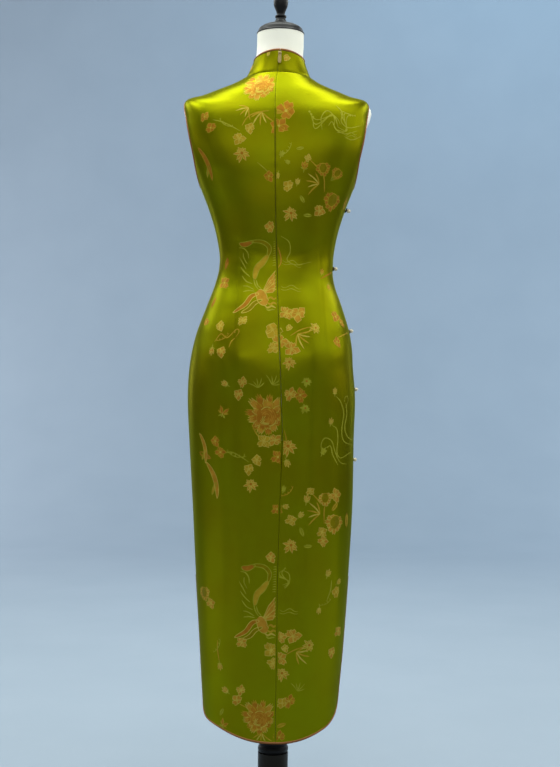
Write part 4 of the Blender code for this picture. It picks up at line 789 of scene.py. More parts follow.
def armhole_turn(station, inset, reach, depth_name):
    """How far an armhole's edge lies from the side line, as an angle."""
    top, foot = armhole_span(inset)
    share = np.clip((station - top) / (foot - top), 0, 1)
    depth = (reach + inset) * np.sin(math.pi * share**ARMHOLE_SKEW) ** ARMHOLE_ROUND
    ratio = depth / column(depth_name, station)
    return np.arcsin(np.clip(ratio ** (column("square", station) / 2), 0, 1))


def armhole_angle(station, inset, side, face):
    """The angle of an armhole's edge. side is LEFT or RIGHT, and face BACK or FRONT."""
    if face == BACK:
        turn = armhole_turn(station, inset, ARMHOLE_BACK, "back")
        return side - turn if side == LEFT else side + turn
    turn = armhole_turn(station, inset, ARMHOLE_FRONT, "front")
    return side + turn if side == LEFT else side - turn


def armhole_stations(inset, steps):
    """Stations down an armhole, close together at its two ends."""
    top, foot = armhole_span(inset)
    turn = np.linspace(0, math.pi, steps + 1)
    return top + (foot - top) * (1 - np.cos(turn)) / 2


@lru_cache(maxsize=None)
def front_edge(inset):
    """Stations and angles of the front's edge, moved onto the front panel by inset."""
    rows = np.array(FRONT_EDGE, float)
    stations = np.linspace(0, rows[-1, 0], EDGE_POINTS)
    out = on_curve(rows[:, 1:], stations)[:, 0]
    share = np.clip(out / column("half", stations), 0, 1)
    angles = math.pi + np.arcsin(share ** (column("square", stations) / 2))
    return moved_aside(stations, angles, inset)


def moved_aside(stations, angles, distance):
    """A line on the skin moved sideways, towards smaller angles for a line that runs down."""
    points = skin(stations, angles)
    along = unit(np.gradient(points, axis=0))
    aside = np.cross(normals(stations, angles), along)
    down, round_it = tangents(stations, angles)
    moved = []
    for a, b, want in zip(down, round_it, aside * distance):
        moved.append(np.linalg.lstsq(np.stack([a, b], axis=1), want, rcond=None)[0])
    moved = np.array(moved)
    return np.maximum(stations + moved[:, 0], 0.0), angles + moved[:, 1]


def front_edge_angle(station, inset):
    return np.interp(station, *front_edge(inset))


def hem_station(height):
    """The station this far above the hem."""
    return HEM - height / (column("back_z", HEM - 1) - column("back_z", HEM))


def slit_opened(station):
    """From 0 at the top of the slits to 1 at the hem."""
    return np.clip((station - SLIT_TOP) / (HEM - SLIT_TOP), 0, 1)


def slit_half_gap(station):
    return SEAM_GAP / 2 + slit_opened(station) * (SLIT_GAP_AT_HEM - SEAM_GAP) / 2


def slit_edge(station, side, aside):
    """The angle at a distance aside from the middle of a slit."""
    return shifted(station, side, SKIRT_TURN * slit_opened(station) + aside)


def slit_first():
    """The station where a slit's binding starts."""
    return SLIT_TOP + SLIT_START / (column("side_z", SLIT_TOP) - column("side_z", SLIT_TOP + 1))


def corner_places(inset, width, height, steps):
    """(aside, above) round a corner of this width and height, on a line this far inside it."""
    return [(width - (width - inset) * math.cos(turn), height - (height - inset) * math.sin(turn))
            for turn in np.linspace(0, math.pi / 2, steps + 1)]


def slit_rows(inset):
    """(station, distance from the side line) down a slit's edge and round its corner."""
    rows = []
    for station in np.linspace(slit_first(), hem_station(CORNER_HEIGHT), SLIT_STEPS + 1)[:-1]:
        rows.append((station, slit_half_gap(station) + inset))
    for aside, above in corner_places(inset, CORNER_WIDTH, CORNER_HEIGHT, CORNER_STEPS):
        station = hem_station(above)
        rows.append((station, slit_half_gap(station) + aside))
    return rows


# ---------------------------------------------------------------- the collar
def collar(rise, angle):
    """Points of the collar's inner face: rise 0 is the neck seam and 1 the top edge."""
    rise, angle = np.broadcast_arrays(np.asarray(rise, float), np.asarray(angle, float))
    foot = skin(np.zeros_like(rise), angle)
    top = superellipse(COLLAR_TOP._asdict(), angle)
    return foot + (top - foot) * rise[..., None]


def collar_normals(rise, angle):
    up = collar(rise + NEAR, angle) - collar(rise - NEAR, angle)
    round_it = collar(rise, angle + NEAR) - collar(rise, angle - NEAR)
    return unit(np.cross(up, round_it))


def neck_miter(angle):
    """The direction, and its length, that moves the neck seam out on both of its sides."""
    yoke = normals(np.zeros_like(angle), angle)
    band = collar_normals(np.zeros_like(angle), angle)
    shared = np.sum(yoke * band, axis=-1, keepdims=True)
    return (yoke + band) / (1 + shared)


def collar_out(rise, angle, height):
    """The collar's points moved out; at its foot they follow the neck seam's miter."""
    rise, angle = np.broadcast_arrays(np.asarray(rise, float), np.asarray(angle, float))
    out = collar_normals(rise, angle)
    foot = np.clip(1 - rise / COLLAR_MITER, 0, 1)[..., None]
    out = out * (1 - foot) + neck_miter(angle) * foot
    return collar(rise, angle) + np.asarray(height, float)[..., None] * out


def collar_hollow(rise, angle):
    """How far the collar's cloth curves in, clear of its back and front edges."""
    aside = np.minimum(np.abs(angle), math.pi - HOLLOW_FRONT - np.abs(angle))
    share = np.clip((aside - HOLLOW_START) / (HOLLOW_FULL - HOLLOW_START), 0, 1)
    return COLLAR_HOLLOW * 4 * rise * (1 - rise) * share**2 * (3 - 2 * share)


def collar_seam(rise):
    """The angle of the centre back edge, from the neck seam to the top."""
    foot = float(back_seam(0.0))
    top = math.asin((COLLAR_TOP.seam_x - COLLAR_TOP.centre) / COLLAR_TOP.half)
    return foot + (top - foot) * rise


def collar_angle(rise, distance, start):
    """The angle at a distance round the collar from start."""
    angles = np.linspace(start - COLLAR_SEARCH, start + COLLAR_SEARCH, COLLAR_SAMPLES)
    lengths = lengths_along(collar(rise, angles))
    place = np.interp(start, angles, lengths) + distance
    return float(np.interp(place, lengths, angles))


def collar_height():
    """The collar's height at the centre front, along its face."""
    return float(np.linalg.norm(collar(1.0, FRONT) - collar(0.0, FRONT)))


# ---------------------------------------------------------------- meshes
def linked(name, data):
    """A new object of the scene."""
    made = bpy.data.objects.new(name, data)
    bpy.context.scene.collection.objects.link(made)
    return made


def frame_matrix(x_axis, y_axis, z_axis, place):
    """The matrix of a frame, from its axes and its place."""
    rows = [[x_axis[i], y_axis[i], z_axis[i], place[i]] for i in range(3)]
    return Matrix(rows + [[0, 0, 0, 1]])


def add_object(name, points, faces, finishes, flat=None):
    """A mesh from points in millimetres; flat holds each point's place on the flat cloth."""
    mesh = bpy.data.meshes.new(name)
    mesh.from_pydata((np.asarray(points, float) * MM).tolist(), [], faces)
    work = bmesh.new()
    work.from_mesh(mesh)
    bmesh.ops.recalc_face_normals(work, faces=work.faces)
    work.to_mesh(mesh)
    work.free()
    for finish in finishes:
        mesh.materials.append(finish)
    if flat is not None:
        layer = mesh.uv_layers.new(name="Cloth")
        corners = np.empty(len(mesh.loops), int)
        mesh.loops.foreach_get("vertex_index", corners)
        places = np.asarray(flat, float)[corners] * MM
        layer.data.foreach_set("uv", places.ravel())
    mesh.shade_smooth()
    mesh.set_sharp_from_angle(angle=SHARP)
    return linked(name, mesh)


def grid_faces(rows, columns, first=0):
    """Quads of a grid of points, rows by columns."""
    corner = np.arange(rows * columns).reshape(rows, columns) + first
    quads = np.stack([corner[:-1, :-1], corner[:-1, 1:], corner[1:, 1:], corner[1:, :-1]], -1)
    return quads.reshape(-1, 4).tolist()


def shell_between(name, inner, outer, flat, finish):
    """A closed shell between two grids of points of the same shape."""
    rows, columns = inner.shape[:2]
    count = rows * columns
    index = np.arange(count).reshape(rows, columns)
    border = np.concatenate(
        [index[0, :-1], index[:-1, -1], index[-1, :0:-1], index[:0:-1, 0]]
    ).tolist()
    faces = grid_faces(rows, columns)
    faces += [face[::-1] for face in grid_faces(rows, columns, count)]
    for i, j in zip(border, border[1:] + border[:1]):
        faces.append([i, j, j + count, i + count])
    points = np.concatenate([inner.reshape(-1, 3), outer.reshape(-1, 3)])
    places = np.concatenate([flat.reshape(-1, 2)] * 2)
    return add_object(name, points, faces, [finish], places)


def tube_faces(rings, sides, closed):
    """Faces of a tube of rings; an open one is capped."""
    faces = []
    for i in range(rings if closed else rings - 1):
        here, there = i * sides, (i + 1) % rings * sides
        for j in range(sides):
            k = (j + 1) % sides
            faces.append([here + j, here + k, there + k, there + j])
    if not closed:
        faces.append(list(range(sides)))
        faces.append(list(range((rings - 1) * sides, rings * sides))[::-1])
    return faces


def tube(name, sections, finish, closed=False):
    """A tube from its sections. Its flat places run round each section and along the tube."""
    sections = np.asarray(sections, float)
    count, sides = sections.shape[:2]
    along, across = lengths_along(sections[:, 0]), lengths_along(sections[0])
    flat = np.stack(np.meshgrid(along, across, indexing="ij"), -1)
    faces = tube_faces(count, sides, closed)
    return add_object(name, sections.reshape(-1, 3), faces, [finish], flat.reshape(-1, 2))


# ---------------------------------------------------------------- cloth panels
def fine_stations(first, last, step=ROW_STEP):
    """Stations about a step apart on the skin."""
    stations = np.linspace(first, last, 2001)
    lines = [skin(stations, np.full(2001, angle)) for angle in (BACK, LEFT, FRONT)]
    moves = np.max([np.linalg.norm(np.diff(line, axis=0), axis=1) for line in lines], axis=0)
    lengths = np.concatenate([[0], np.cumsum(moves)])
    count = math.ceil(lengths[-1] / step)
    return np.interp(np.linspace(0, lengths[-1], count + 1), lengths, stations)


def body_stations(inset):
    """The rows that the panels share, from the neck to the top of the slits."""
    every = np.concatenate([
        NECK_ROWS, fine_stations(NECK_ROWS_END, SLIT_TOP), armhole_stations(inset, ARMHOLE_ROWS),
    ])
    every = np.sort(every)
    apart = np.concatenate([[True], np.diff(every) > ROWS_APART])
    return every[apart].tolist()


def rolled(distance):
    """The cloth's outer height at a distance from its edge, where it rolls down to a seam."""
    share = np.clip(1 - distance / ROLL, 0, 1)
    return SEAM_FLOOR + (WALL - SEAM_FLOOR) * np.sqrt(1 - share**2)


def row_places(width, columns):
    """Lengths across a row from its first edge, closer together where the cloth rolls."""
    roll = np.array(ROLL_STEPS) * min(1.0, width / (4 * ROLL))
    middle = np.linspace(roll[-1], width - roll[-1], columns + 1)[1:-1]
    return np.concatenate([roll, middle, (width - roll)[::-1]])


def panel(name, rows, columns, finish):
    """A cloth panel. Each row is (station, first angle, last angle)."""
    inner, outer, flat, turns = [], [], [], []
    down, before = 0.0, None
    for station, first, last in rows:
        start = arc(station, first)
        places = row_places(arc(station, last) - start, columns)
        angles = angle_of(station, start + places)
        turns.append(angles)
        points = skin(station, angles)
        middle = points[len(points) // 2]
        down += 0.0 if before is None else float(np.linalg.norm(middle - before))
        before = middle
        from_neck = np.linalg.norm(points - skin(NECK_START, angles), axis=1)
        height = np.minimum(rolled(np.minimum(places, places[-1] - places)), rolled(from_neck))
        inner.append(lifted(station, angles, np.full(len(angles), CLOTH_BACK)))
        outer.append(lifted(station, angles, np.maximum(height, CLOTH_BACK + THINNEST)))
        flat.append(np.stack([start + places, np.full(len(places), -down)], axis=1))
    if rows[0][0] == NECK_START:
        outer[0] = inner[0] + SEAM_FLOOR * neck_miter(turns[0])
    return shell_between(name, np.array(inner), np.array(outer), np.array(flat), finish)


def side_edge(station, side, face, inset):
    """The angle of a panel's edge on the shoulder ridge, armhole or side seam."""
    top, foot = armhole_span(inset)
    forward = (side == LEFT) == (face == FRONT)
    seam = shifted(station, side, SIDE_GAP / 2 if forward else -SIDE_GAP / 2)
    if not top < station < foot:
        return seam
    edge = float(armhole_angle(station, inset, side, face))
    return max(edge, seam) if forward else min(edge, seam)


def back_rows(side):
    """The rows of a back half, from its smaller angle to its larger one."""
    whole_turn = 2 * math.pi if side == RIGHT else 0.0
    way = 1 if side == RIGHT else -1
    edges = [(station, side_edge(station, side, BACK, TUCK) - whole_turn)
             for station in body_stations(TUCK)]
    edges += [(station, slit_edge(station, side - whole_turn, way * aside))
              for station, aside in slit_rows(TUCK)]
    return [(station, *sorted((shifted(station, back_seam(station), -way * CENTRE_GAP / 2), edge)))
            for station, edge in edges]


def front_rows():
    """The front's rows, from the left side to the bound edge and, below it, the right side."""
    rows = []
    for station in body_stations(TUCK):
        edge = side_edge(station, RIGHT, FRONT, TUCK)
        if station < FRONT_EDGE[-1].station:
            edge = min(edge, front_edge_angle(station, TUCK))
        rows.append((station, side_edge(station, LEFT, FRONT, TUCK), edge))
    for station, aside in slit_rows(TUCK):
        rows.append((station, slit_edge(station, LEFT, aside), slit_edge(station, RIGHT, -aside)))
    return rows


def shoulder_rows():
    """The right shoulder piece's rows, which run under the front's bound edge."""
    rows = []
    for station in body_stations(TUCK):
        first = front_edge_angle(station, SHOULDER_TUCK)
        last = side_edge(station, RIGHT, FRONT, TUCK)
        if station > ARMHOLE_FOOT or arc(station, last) - arc(station, first) < BIND_WIDTH:
            break
        rows.append((station, first, last))
    return rows


# ---------------------------------------------------------------- collar halves
def collar_front_rows(inset):
    """(rise, distance from the centre front) up the collar's front edge and round its corner."""
    height = collar_height()
    foot = 1.5 * SEAM_GAP / height
    straight = np.linspace(foot, 1 - COLLAR_CORNER / height, COLLAR_ROWS)[:-1]
    rows = [(rise, COLLAR_FRONT_GAP + inset) for rise in straight]
    for aside, above in corner_places(inset, COLLAR_CORNER, COLLAR_CORNER, COLLAR_CORNER_STEPS):
        rows.append((1 - above / height, COLLAR_FRONT_GAP + aside))
    return rows


def collar_columns(rise, aside, side):
    """The angles across a collar half, from the centre back to its front edge."""
    sign = 1 if side == LEFT else -1
    seam = [collar_angle(rise, sign * (CENTRE_GAP / 2 + step), collar_seam(rise))
            for step in ROLL_STEPS]
    front = collar_angle(rise, -sign * aside, sign * FRONT)
    middle = sign * LEFT
    back_part = np.linspace(seam[-1], middle, COLLAR_HALF_COLUMNS, endpoint=False)[1:]
    front_part = np.linspace(middle, front, COLLAR_HALF_COLUMNS + 1)
    return np.concatenate([seam, back_part, front_part])


def collar_half(name, side, finish):
    """A collar half, from the centre back to its rounded front corner."""
    inner, outer, flat = [], [], []
    tall = collar_height()
    for rise, aside in collar_front_rows(COLLAR_TUCK):
        angles = collar_columns(rise, aside, side)
        along = lengths_along(collar(rise, angles))
        height = np.minimum(rolled(along), rolled(rise * tall))
        hollow = collar_hollow(rise, angles)
        inner.append(collar_out(rise, angles, CLOTH_BACK - hollow))
        outer.append(collar_out(rise, angles,
                                np.maximum(height, CLOTH_BACK + THINNEST) - hollow))
        flat.append(np.stack([along, np.full(len(along), rise * tall)], axis=1))
    return shell_between(name, np.array(inner), np.array(outer), np.array(flat), finish)


# ---------------------------------------------------------------- bindings
def pipe_profile(width):
    """(inset, height) round a binding's rounded section, from the cloth's edge inwards."""
    turns = np.linspace(0, math.pi, PIPE_POINTS)
    return [(width * (1 - math.cos(t)) / 2, PIPE_FLOOR + (BIND_PROUD - PIPE_FLOOR)
             * math.sin(t) ** PIPE_SQUARE) for t in turns]


def armhole_binding(name, side, finish):
    """The closed band round an armhole: down its back edge and up its front edge."""
    lines = []
    for inset, height in pipe_profile(BIND_WIDTH):
        stations = armhole_stations(inset, ARMHOLE_ROWS)
        down = lifted(stations, armhole_angle(stations, inset, side, BACK), height)
        up = lifted(stations, armhole_angle(stations, inset, side, FRONT), height)
        lines.append(np.concatenate([down[:-1], up[:0:-1]]))
    return tube(name, np.stack(lines, axis=1), finish, closed=True)


def hem_binding(name, face, finish):
    """The band down one slit, along the hem and up the other slit."""
    last_side = RIGHT if face == FRONT else RIGHT - 2 * math.pi
    sign = 1 if face == FRONT else -1
    lines = []
    for inset, height in pipe_profile(BIND_WIDTH):
        down = [(station, slit_edge(station, LEFT, sign * aside))
                for station, aside in slit_rows(inset)]
        up = [(station, slit_edge(station, last_side, -sign * aside))
              for station, aside in slit_rows(inset)[::-1]]
        rows = np.array(down + hem_line(inset, down[-1][1], up[0][1]) + up)
        lines.append(lifted(rows[:, 0], rows[:, 1], height))
    return tube(name, np.stack(lines, axis=1), finish)


def hem_line(inset, first, last):
    """The places along the hem, between the angles where its two rounded corners end."""
    station = hem_station(inset)
    lengths = np.linspace(arc(station, first), arc(station, last), HEM_POINTS + 2)[1:-1]
    return [(station, angle) for angle in angle_of(station, lengths)]


def front_edge_binding(name, finish):
    """The band along the front's edge, from the neck seam to the right armhole's binding."""
    profile = np.array(pipe_profile(BIND_WIDTH))
    sections = []
    for station in body_stations(TUCK):
        if station >= FRONT_EDGE[-1].station:
            break
        angles = np.array([front_edge_angle(station, inset) for inset in profile[:, 0]])
        if ARMHOLE_TOP < station:
            stop = armhole_angle(station, TUCK, RIGHT, FRONT)
            if angles.min() > stop:
                break
            angles = np.minimum(angles, stop)
        if station == NECK_START:
            sections.append(skin(station, angles) + profile[:, 1:] * neck_miter(angles))
        else:
            sections.append(lifted(station, angles, profile[:, 1]))
    return tube(name, sections, finish)


def collar_binding(name, side, finish):
    """The band along a collar half's top, round its corner and down its front edge."""
    profile = pipe_profile(COLLAR_BIND)
    rows = [collar_front_rows(inset) for inset, _ in profile]
    tops = [collar_columns(*line[-1], side) for line in rows]
    sections = []
    for number in range(len(tops[0]) - 1):
        sections.append([
            collar_out(line[-1][0], angles[number], height)
            for (_, height), line, angles in zip(profile, rows, tops)
        ])
    fronts = [[(rise, collar_columns(rise, aside, side)[-1]) for rise, aside in line]
              for line in rows]
    for step in range(len(rows[0]) - 1, -1, -1):
        sections.append([
            collar_out(*line[step], height) for (_, height), line in zip(profile, fronts)
        ])
    return tube(name, sections, finish)


# ---------------------------------------------------------------- zip, slider, tab and hook
def seam_places():
    """(place, outward, across) down the centre back seam, from the collar's top to the zip's
    foot, about a coil tooth's pitch apart."""
    lines = []
    for rise in np.linspace(1 - COLLAR_TUCK / collar_height(), SEAM_RISE, SEAM_RISES):
        angle = collar_seam(rise)
        lines.append((collar(rise, angle), collar_normals(rise, angle)))
    for station in fine_stations(SEAM_START, ZIP_FOOT, COIL_PITCH):
        angle = float(back_seam(station))
        lines.append((lifted(station, angle, 0.0), normals(station, angle)))
    places, outs = (np.array(column_of) for column_of in zip(*lines))
    along = unit(np.gradient(places, axis=0))
    return places, outs, unit(np.cross(along, outs))


def zip_strip(name, finishes):
    """The zip's tape under the seam, with its coil's teeth along both of its edges."""
    places, outs, across = seam_places()
    half, top, low = TAPE_HALF_WIDTH, TAPE_TOP, TAPE_TOP - TAPE_THICK
    corners = [(-half, low), (-half, top), (half, top), (half, low)]
    tape = np.stack([places + x * across + z * outs for x, z in corners], axis=1)
    points = tape.reshape(-1, 3).tolist()
    faces = tube_faces(len(tape), 4, closed=False)
    tape_faces = len(faces)
    along = np.cross(outs, across)
    for number, (place, out, side, run) in enumerate(zip(places, outs, across, along)):
        middle = place + (COIL_SIDE if number % 2 else -COIL_SIDE) * side
        add_tooth(points, faces, middle, side, run, out)
    made = add_object(name, points, faces, finishes)
    for face in made.data.polygons[tape_faces:]:
        face.material_index = 1
    return made


def add_tooth(points, faces, middle, side, run, out):
    """A coil's tooth: a small closed lozenge across the seam."""
    first = len(points)
    for x, y, z in ((-1, 0, 0), (1, 0, 0), (0, -1, 0), (0, 1, 0), (0, 0, -1), (0, 0, 1)):
        place = middle + x * TOOTH_HALF[0] * side + y * TOOTH_HALF[1] * run
        points.append((place + z * TOOTH_HALF[2] * out).tolist())
    for i, j in ((0, 2), (2, 1), (1, 3), (3, 0)):
        faces.append([first + i, first + j, first + 5])
        faces.append([first + j, first + i, first + 4])


def on_collar_seam(rise, height, low, high):
    """A frame over the collar's back seam: its place, X, outward and up, from low to high."""
    angle = collar_seam(rise)
    up = unit(collar(high, angle) - collar(low, angle))
    across = unit(np.array([1.0, 0.0, 0.0]) - up[0] * up)
    return collar_out(rise, angle, height), across, np.cross(up, across), up


def slider_frame():
    """Where the slider sits, on the collar's outer face."""
    low, high = SLIDER_RISE - SLIDER_REACH, SLIDER_RISE + SLIDER_REACH
    return on_collar_seam(SLIDER_RISE, WALL + SEAM_GAP, low, high)


def round_edges(made, width, segments, least_turn=0.0):
    """Bevels a mesh's edges whose faces turn by this much or more."""
    work = bmesh.new()
    work.from_mesh(made.data)
    edges = [edge for edge in work.edges if edge.calc_face_angle(0) >= least_turn]
    bmesh.ops.bevel(work, geom=edges, offset=width * MM, segments=segments, affect="EDGES",
                    clamp_overlap=True)
    work.to_mesh(made.data)
    work.free()
    made.data.shade_smooth()
    return made


def bevelled(name, outline, half, finish, width):
    """A straight piece that runs along X from a flat outline, with its edges rounded."""
    count = len(outline)
    flat = np.array(outline, float)
    points = np.concatenate([np.insert(flat, 0, d, axis=1) for d in (-half, half)])
    faces = [list(range(count)), list(range(2 * count - 1, count - 1, -1))]
    faces += [[i, (i + 1) % count, (i + 1) % count + count, i + count] for i in range(count)]
    return round_edges(add_object(name, points, faces, [finish]), width, 3)


def set_at(made, place, across, outward, up):
    """Moves a mesh made round the origin to a local frame."""
    made.data.transform(frame_matrix(across, outward, up, place * MM))
    return made


def merged(name, pieces):
    """Several mesh objects as one, under a new name."""
    work = bmesh.new()
    for piece in pieces:
        work.from_mesh(piece.data)
    mesh = bpy.data.meshes.new(name)
    work.to_mesh(mesh)
    work.free()
    mesh.materials.append(pieces[0].data.materials[0])
    for piece in pieces:
        bpy.data.objects.remove(piece)
    return linked(name, mesh)


def zip_slider(name, finish):
    """The slider's body, waisted at its foot, with the bail's arch over it."""
    half, thick = SLIDER_LENGTH / 2, SLIDER_THICK
    side = [(0, -half), (thick, -half + SLIDER_HEEL), (thick, half - SLIDER_NOSE),
            (thick * SLIDER_LIP, half), (0, half)]
    body = bevelled(name + "_body", side, SLIDER_WIDTH / 2, finish, SLIDER_EDGE)
    turns = np.linspace(0, math.pi, BAIL_POINTS)
    outside, inside = BAIL_REACH / 2, BAIL_REACH / 2 - BAIL_BAR
    foot, rise = thick - BAIL_SINK, BAIL_HEIGHT + BAIL_SINK
    arch = [(foot + rise * math.sin(t) ** BAIL_SQUARE, -outside * math.cos(t)) for t in turns]
    arch += [(foot + (rise - BAIL_BAR) * math.sin(t) ** BAIL_SQUARE, inside * math.cos(t))
             for t in turns]
    bail = bevelled(name + "_bail", arch, BAIL_WIDTH / 2, finish, BAIL_EDGE)
    return set_at(merged(name, [body, bail]), *slider_frame())


def ring_face(name, outer, hole, half, finish, width):
    """A flat piece with a hole: two outlines of the same count, run along Y."""
    count = len(outer)
    points = []
    for depth in (-half, half):
        for line in (outer, hole):
            points += [(x, depth, z) for x, z in line]
    faces = []
    for i in range(count):
        j = (i + 1) % count
        faces.append([i, j, j + count, i + count])
        faces.append([j + 2 * count, i + 2 * count, i + 3 * count, j + 3 * count])
        faces.append([i, i + 2 * count, j + 2 * count, j])
        faces.append([i + count, j + count, j + 3 * count, i + 3 * count])
    return round_edges(add_object(name, points, faces, [finish]), width, 2, CORNER)


def zip_pull(name, finish):
    """The pull tab: a teardrop whose top bar turns in the bail."""
    turns = round_turns(TAB_POINTS)
    top, foot = TAB_TOP_WIDTH / 2, TAB_WIDTH / 2
    outer, hole = [], []
    middle = PIN_RADIUS - TAB_HOLE_REACH
    for turn in turns:
        aside, up = math.sin(turn), math.cos(turn)
        share = (1 - up) / 2
        wide = top + (foot - top) * share**TAB_SWELL
        outer.append((wide * np.sign(aside) * abs(aside) ** (1.0 - TAB_SQUARE * abs(up)),
                      PIN_RADIUS - share * (TAB_LENGTH + PIN_RADIUS)))
        hole.append((TAB_HOLE_WIDTH / 2 * np.sign(aside) * abs(aside) ** TAB_HOLE_SQUARE,
                     (middle - PIN_RADIUS) / 2 + (TAB_HOLE_REACH - PIN_RADIUS) / 2
                     * np.sign(up) * abs(up) ** TAB_HOLE_SQUARE))
    tab = ring_face(name, outer, hole, TAB_THICK / 2, finish, TAB_EDGE)
    place, across, outward, up = slider_frame()
    return set_at(tab, place + (SLIDER_THICK + PIN_HEIGHT) * outward, across, outward, up)


def sewn_hook(name, finish):
    """The small hook over the zip, at the collar's top: a bent wire with two sewn feet."""
    waist, bend = HOOK_WIDTH * HOOK_WAIST, HOOK_LENGTH * HOOK_BEND
    turns = np.linspace(0, math.pi, HOOK_POINTS)
    line = [(-HOOK_WIDTH, -HOOK_LENGTH), (-waist, -bend)]
    line += [(-waist * math.cos(t), bend * math.sin(t)) for t in turns]
    line += [(waist, -bend), (HOOK_WIDTH, -HOOK_LENGTH)]
    place, across, outward, up = on_collar_seam(HOOK_RISE, WALL + HOOK_WIRE, 0.9, 1.0)
    points = np.array([place + x * across + z * up for x, z in line])
    return cord_tube(name, points, outward, HOOK_WIRE, HOOK_SIDES, finish)


# ---------------------------------------------------------------- cords and pearls
def cord_tube(name, line, outward, radius, sides, finish, twist=0.0, ridge=0.0):
    """A round cord along a line. twist is its turns per millimetre and ridge its plies' relief."""
    along = unit(np.gradient(line, axis=0))
    outward = np.broadcast_to(outward, line.shape)
    aside = unit(np.cross(along, outward))
    over = np.cross(aside, along)
    turns = round_turns(sides)
    sections = []
    for place, a, b, length in zip(line, aside, over, lengths_along(line)):
        wide = radius - ridge * (0.5 - 0.5 * np.cos(PLIES * (turns - 2 * math.pi * twist * length)))
        sections.append(place + (wide * np.cos(turns))[:, None] * a
                        + (wide * np.sin(turns))[:, None] * b)
    return tube(name, sections, finish)


def pearl(name, station, angle, finish):
    """A round pearl on its shank, which stands on the cloth."""
    place, outward, forward, down = cloth_frame(station, angle)
    centre = place + (WALL + PEARL_HEIGHT) * outward
    rises = np.linspace(PEARL_FOOT, PEARL_TOP, PEARL_ROWS)
    profile = [(SHANK_RADIUS, -PEARL_HEIGHT), (SHANK_RADIUS, -PEARL_RADIUS * SHANK_END)]
    profile += [(PEARL_RADIUS * math.cos(a), PEARL_RADIUS * math.sin(a)) for a in rises]
    turns = round_turns(PEARL_SIDES)
    sections = [[centre + r * math.cos(t) * forward + r * math.sin(t) * down + h * outward
                 for t in turns] for r, h in profile]
    return tube(name, sections, finish)


def cloth_frame(station, angle):
    """A place on the skin, with its outward, forward (towards smaller angles) and down."""
    outward = normals(station, angle)
    down, round_it = tangents(np.array(station, float), np.array(angle, float))
    forward = unit(-round_it)
    down = unit(down - np.sum(down * forward) * forward)
    return skin(station, angle), outward, forward, down


def nearest_on_skin(points, station, angle):
    """The station and angle under each of some points that lie near a first place."""
    stations = np.full(len(points), float(station))
    angles = np.full(len(points), float(angle))
    for _ in range(NEAREST_ROUNDS):
        down, round_it = tangents(stations, angles)
        miss = points - skin(stations, angles)
        aa, ab, bb = (np.sum(x * y, axis=1) for x, y in
                      ((down, down), (down, round_it), (round_it, round_it)))
        am, bm = np.sum(down * miss, axis=1), np.sum(round_it * miss, axis=1)
        shared = aa * bb - ab**2
        stations = np.clip(stations + (am * bb - bm * ab) / shared, 0, HEM)
        angles = angles + (bm * aa - am * ab) / shared
    return stations, angles


def stations_at(height):
    """The station whose side point has this height."""
    stations = np.linspace(0, HEM, STATION_SAMPLES)
    return float(np.interp(-height, -column("side_z", stations), stations))


def hairpin():
    """The cord's middle line (forward, down) from one leg's end, round the eye, and back."""
    gap = CORD_RADIUS + SEAM_GAP / 2
    turns = np.linspace(-EYE_TURN, EYE_TURN, EYE_POINTS)
    start = EYE_RADIUS + LEG_START
    leg = [(start + LEG_LENGTH * share, gap) for share in np.linspace(1, 0, LEG_POINTS)]
    eye = [(-EYE_RADIUS * math.cos(t), -EYE_RADIUS * math.sin(t)) for t in turns]
    return leg + eye + [(x, -y) for x, y in leg[::-1]]


def bed_height(stations, angles):
    """How high the cloth or the front's binding lies under a loop's cord."""
    edges = front_edge_angle(stations, 0.0)
    width = np.array([arc(s, e) - arc(s, a) for s, e, a in zip(stations, edges, angles)])
    bound = (stations < ARMHOLE_FOOT) & (width > -EDGE_EASE) & (width < BIND_WIDTH + EDGE_EASE)
    return np.where(bound, BIND_PROUD, WALL)


def loop(name, station, angle, finish):
    """A cord loop round a pearl's shank, with its two legs sewn down on the front."""
    line = np.array(hairpin())
    place, _, forward, down = cloth_frame(station, angle)
    flat = place + line[:, :1] * forward + line[:, 1:] * down
    stations, angles = nearest_on_skin(flat, station, angle)
    heights = bed_height(stations, angles) + CORD_LIFT + CORD_RADIUS
    heights = np.pad(heights, BED_WINDOW // 2, mode="edge")
    heights = np.convolve(heights, np.full(BED_WINDOW, 1 / BED_WINDOW), mode="valid")
    middle = smoothed(lifted(stations, angles, heights), CORD_FINER)
    outward = smoothed(normals(stations, angles), CORD_FINER)
    return cord_tube(name, middle, outward, CORD_RADIUS, CORD_SIDES, finish, CORD_TWIST,
                     PLY_RELIEF)


def add_fastenings(finishes):
    """The pearls and loops of the right side and of the front's edge."""
    spots = []
    for number, spot in enumerate(SIDE_FASTENINGS, 1):
        station = stations_at(spot.z)
        spots.append((f"side_{number}", station, shifted(station, RIGHT, -spot.forward)))
    for number, station in enumerate(FRONT_FASTENINGS, 1):
        aside = -EYE_RADIUS - CORD_RADIUS - 3 * SEAM_GAP
        spots.append((f"front_{number}", station, front_edge_angle(station, aside)))
    made = []
    for name, station, angle in spots:
        ball = pearl(f"ball_{name}", station, angle, finishes["pearl"])
        made.append(keep(ball, "pearl", f"pearl_{name}"))
        cord = loop(f"cord_{name}", station, angle, finishes["dark_cord"])
        made.append(keep(cord, "dark_cord", f"loop_{name}"))
    return made


# ---------------------------------------------------------------- woven motifs
# A patch is part of a motif in one colour: points (right, down) in millimetres, faces between
# them and how far each point stands over the cloth.
Patch = namedtuple("Patch", "points faces colour lifts")


def turn_by(points, degrees):
    """Points turned clockwise about the motif's middle."""
    sine, cosine = math.sin(math.radians(degrees)), math.cos(math.radians(degrees))
    points = np.asarray(points, float)
    return np.stack([points[:, 0] * cosine - points[:, 1] * sine,
                     points[:, 0] * sine + points[:, 1] * cosine], axis=1)


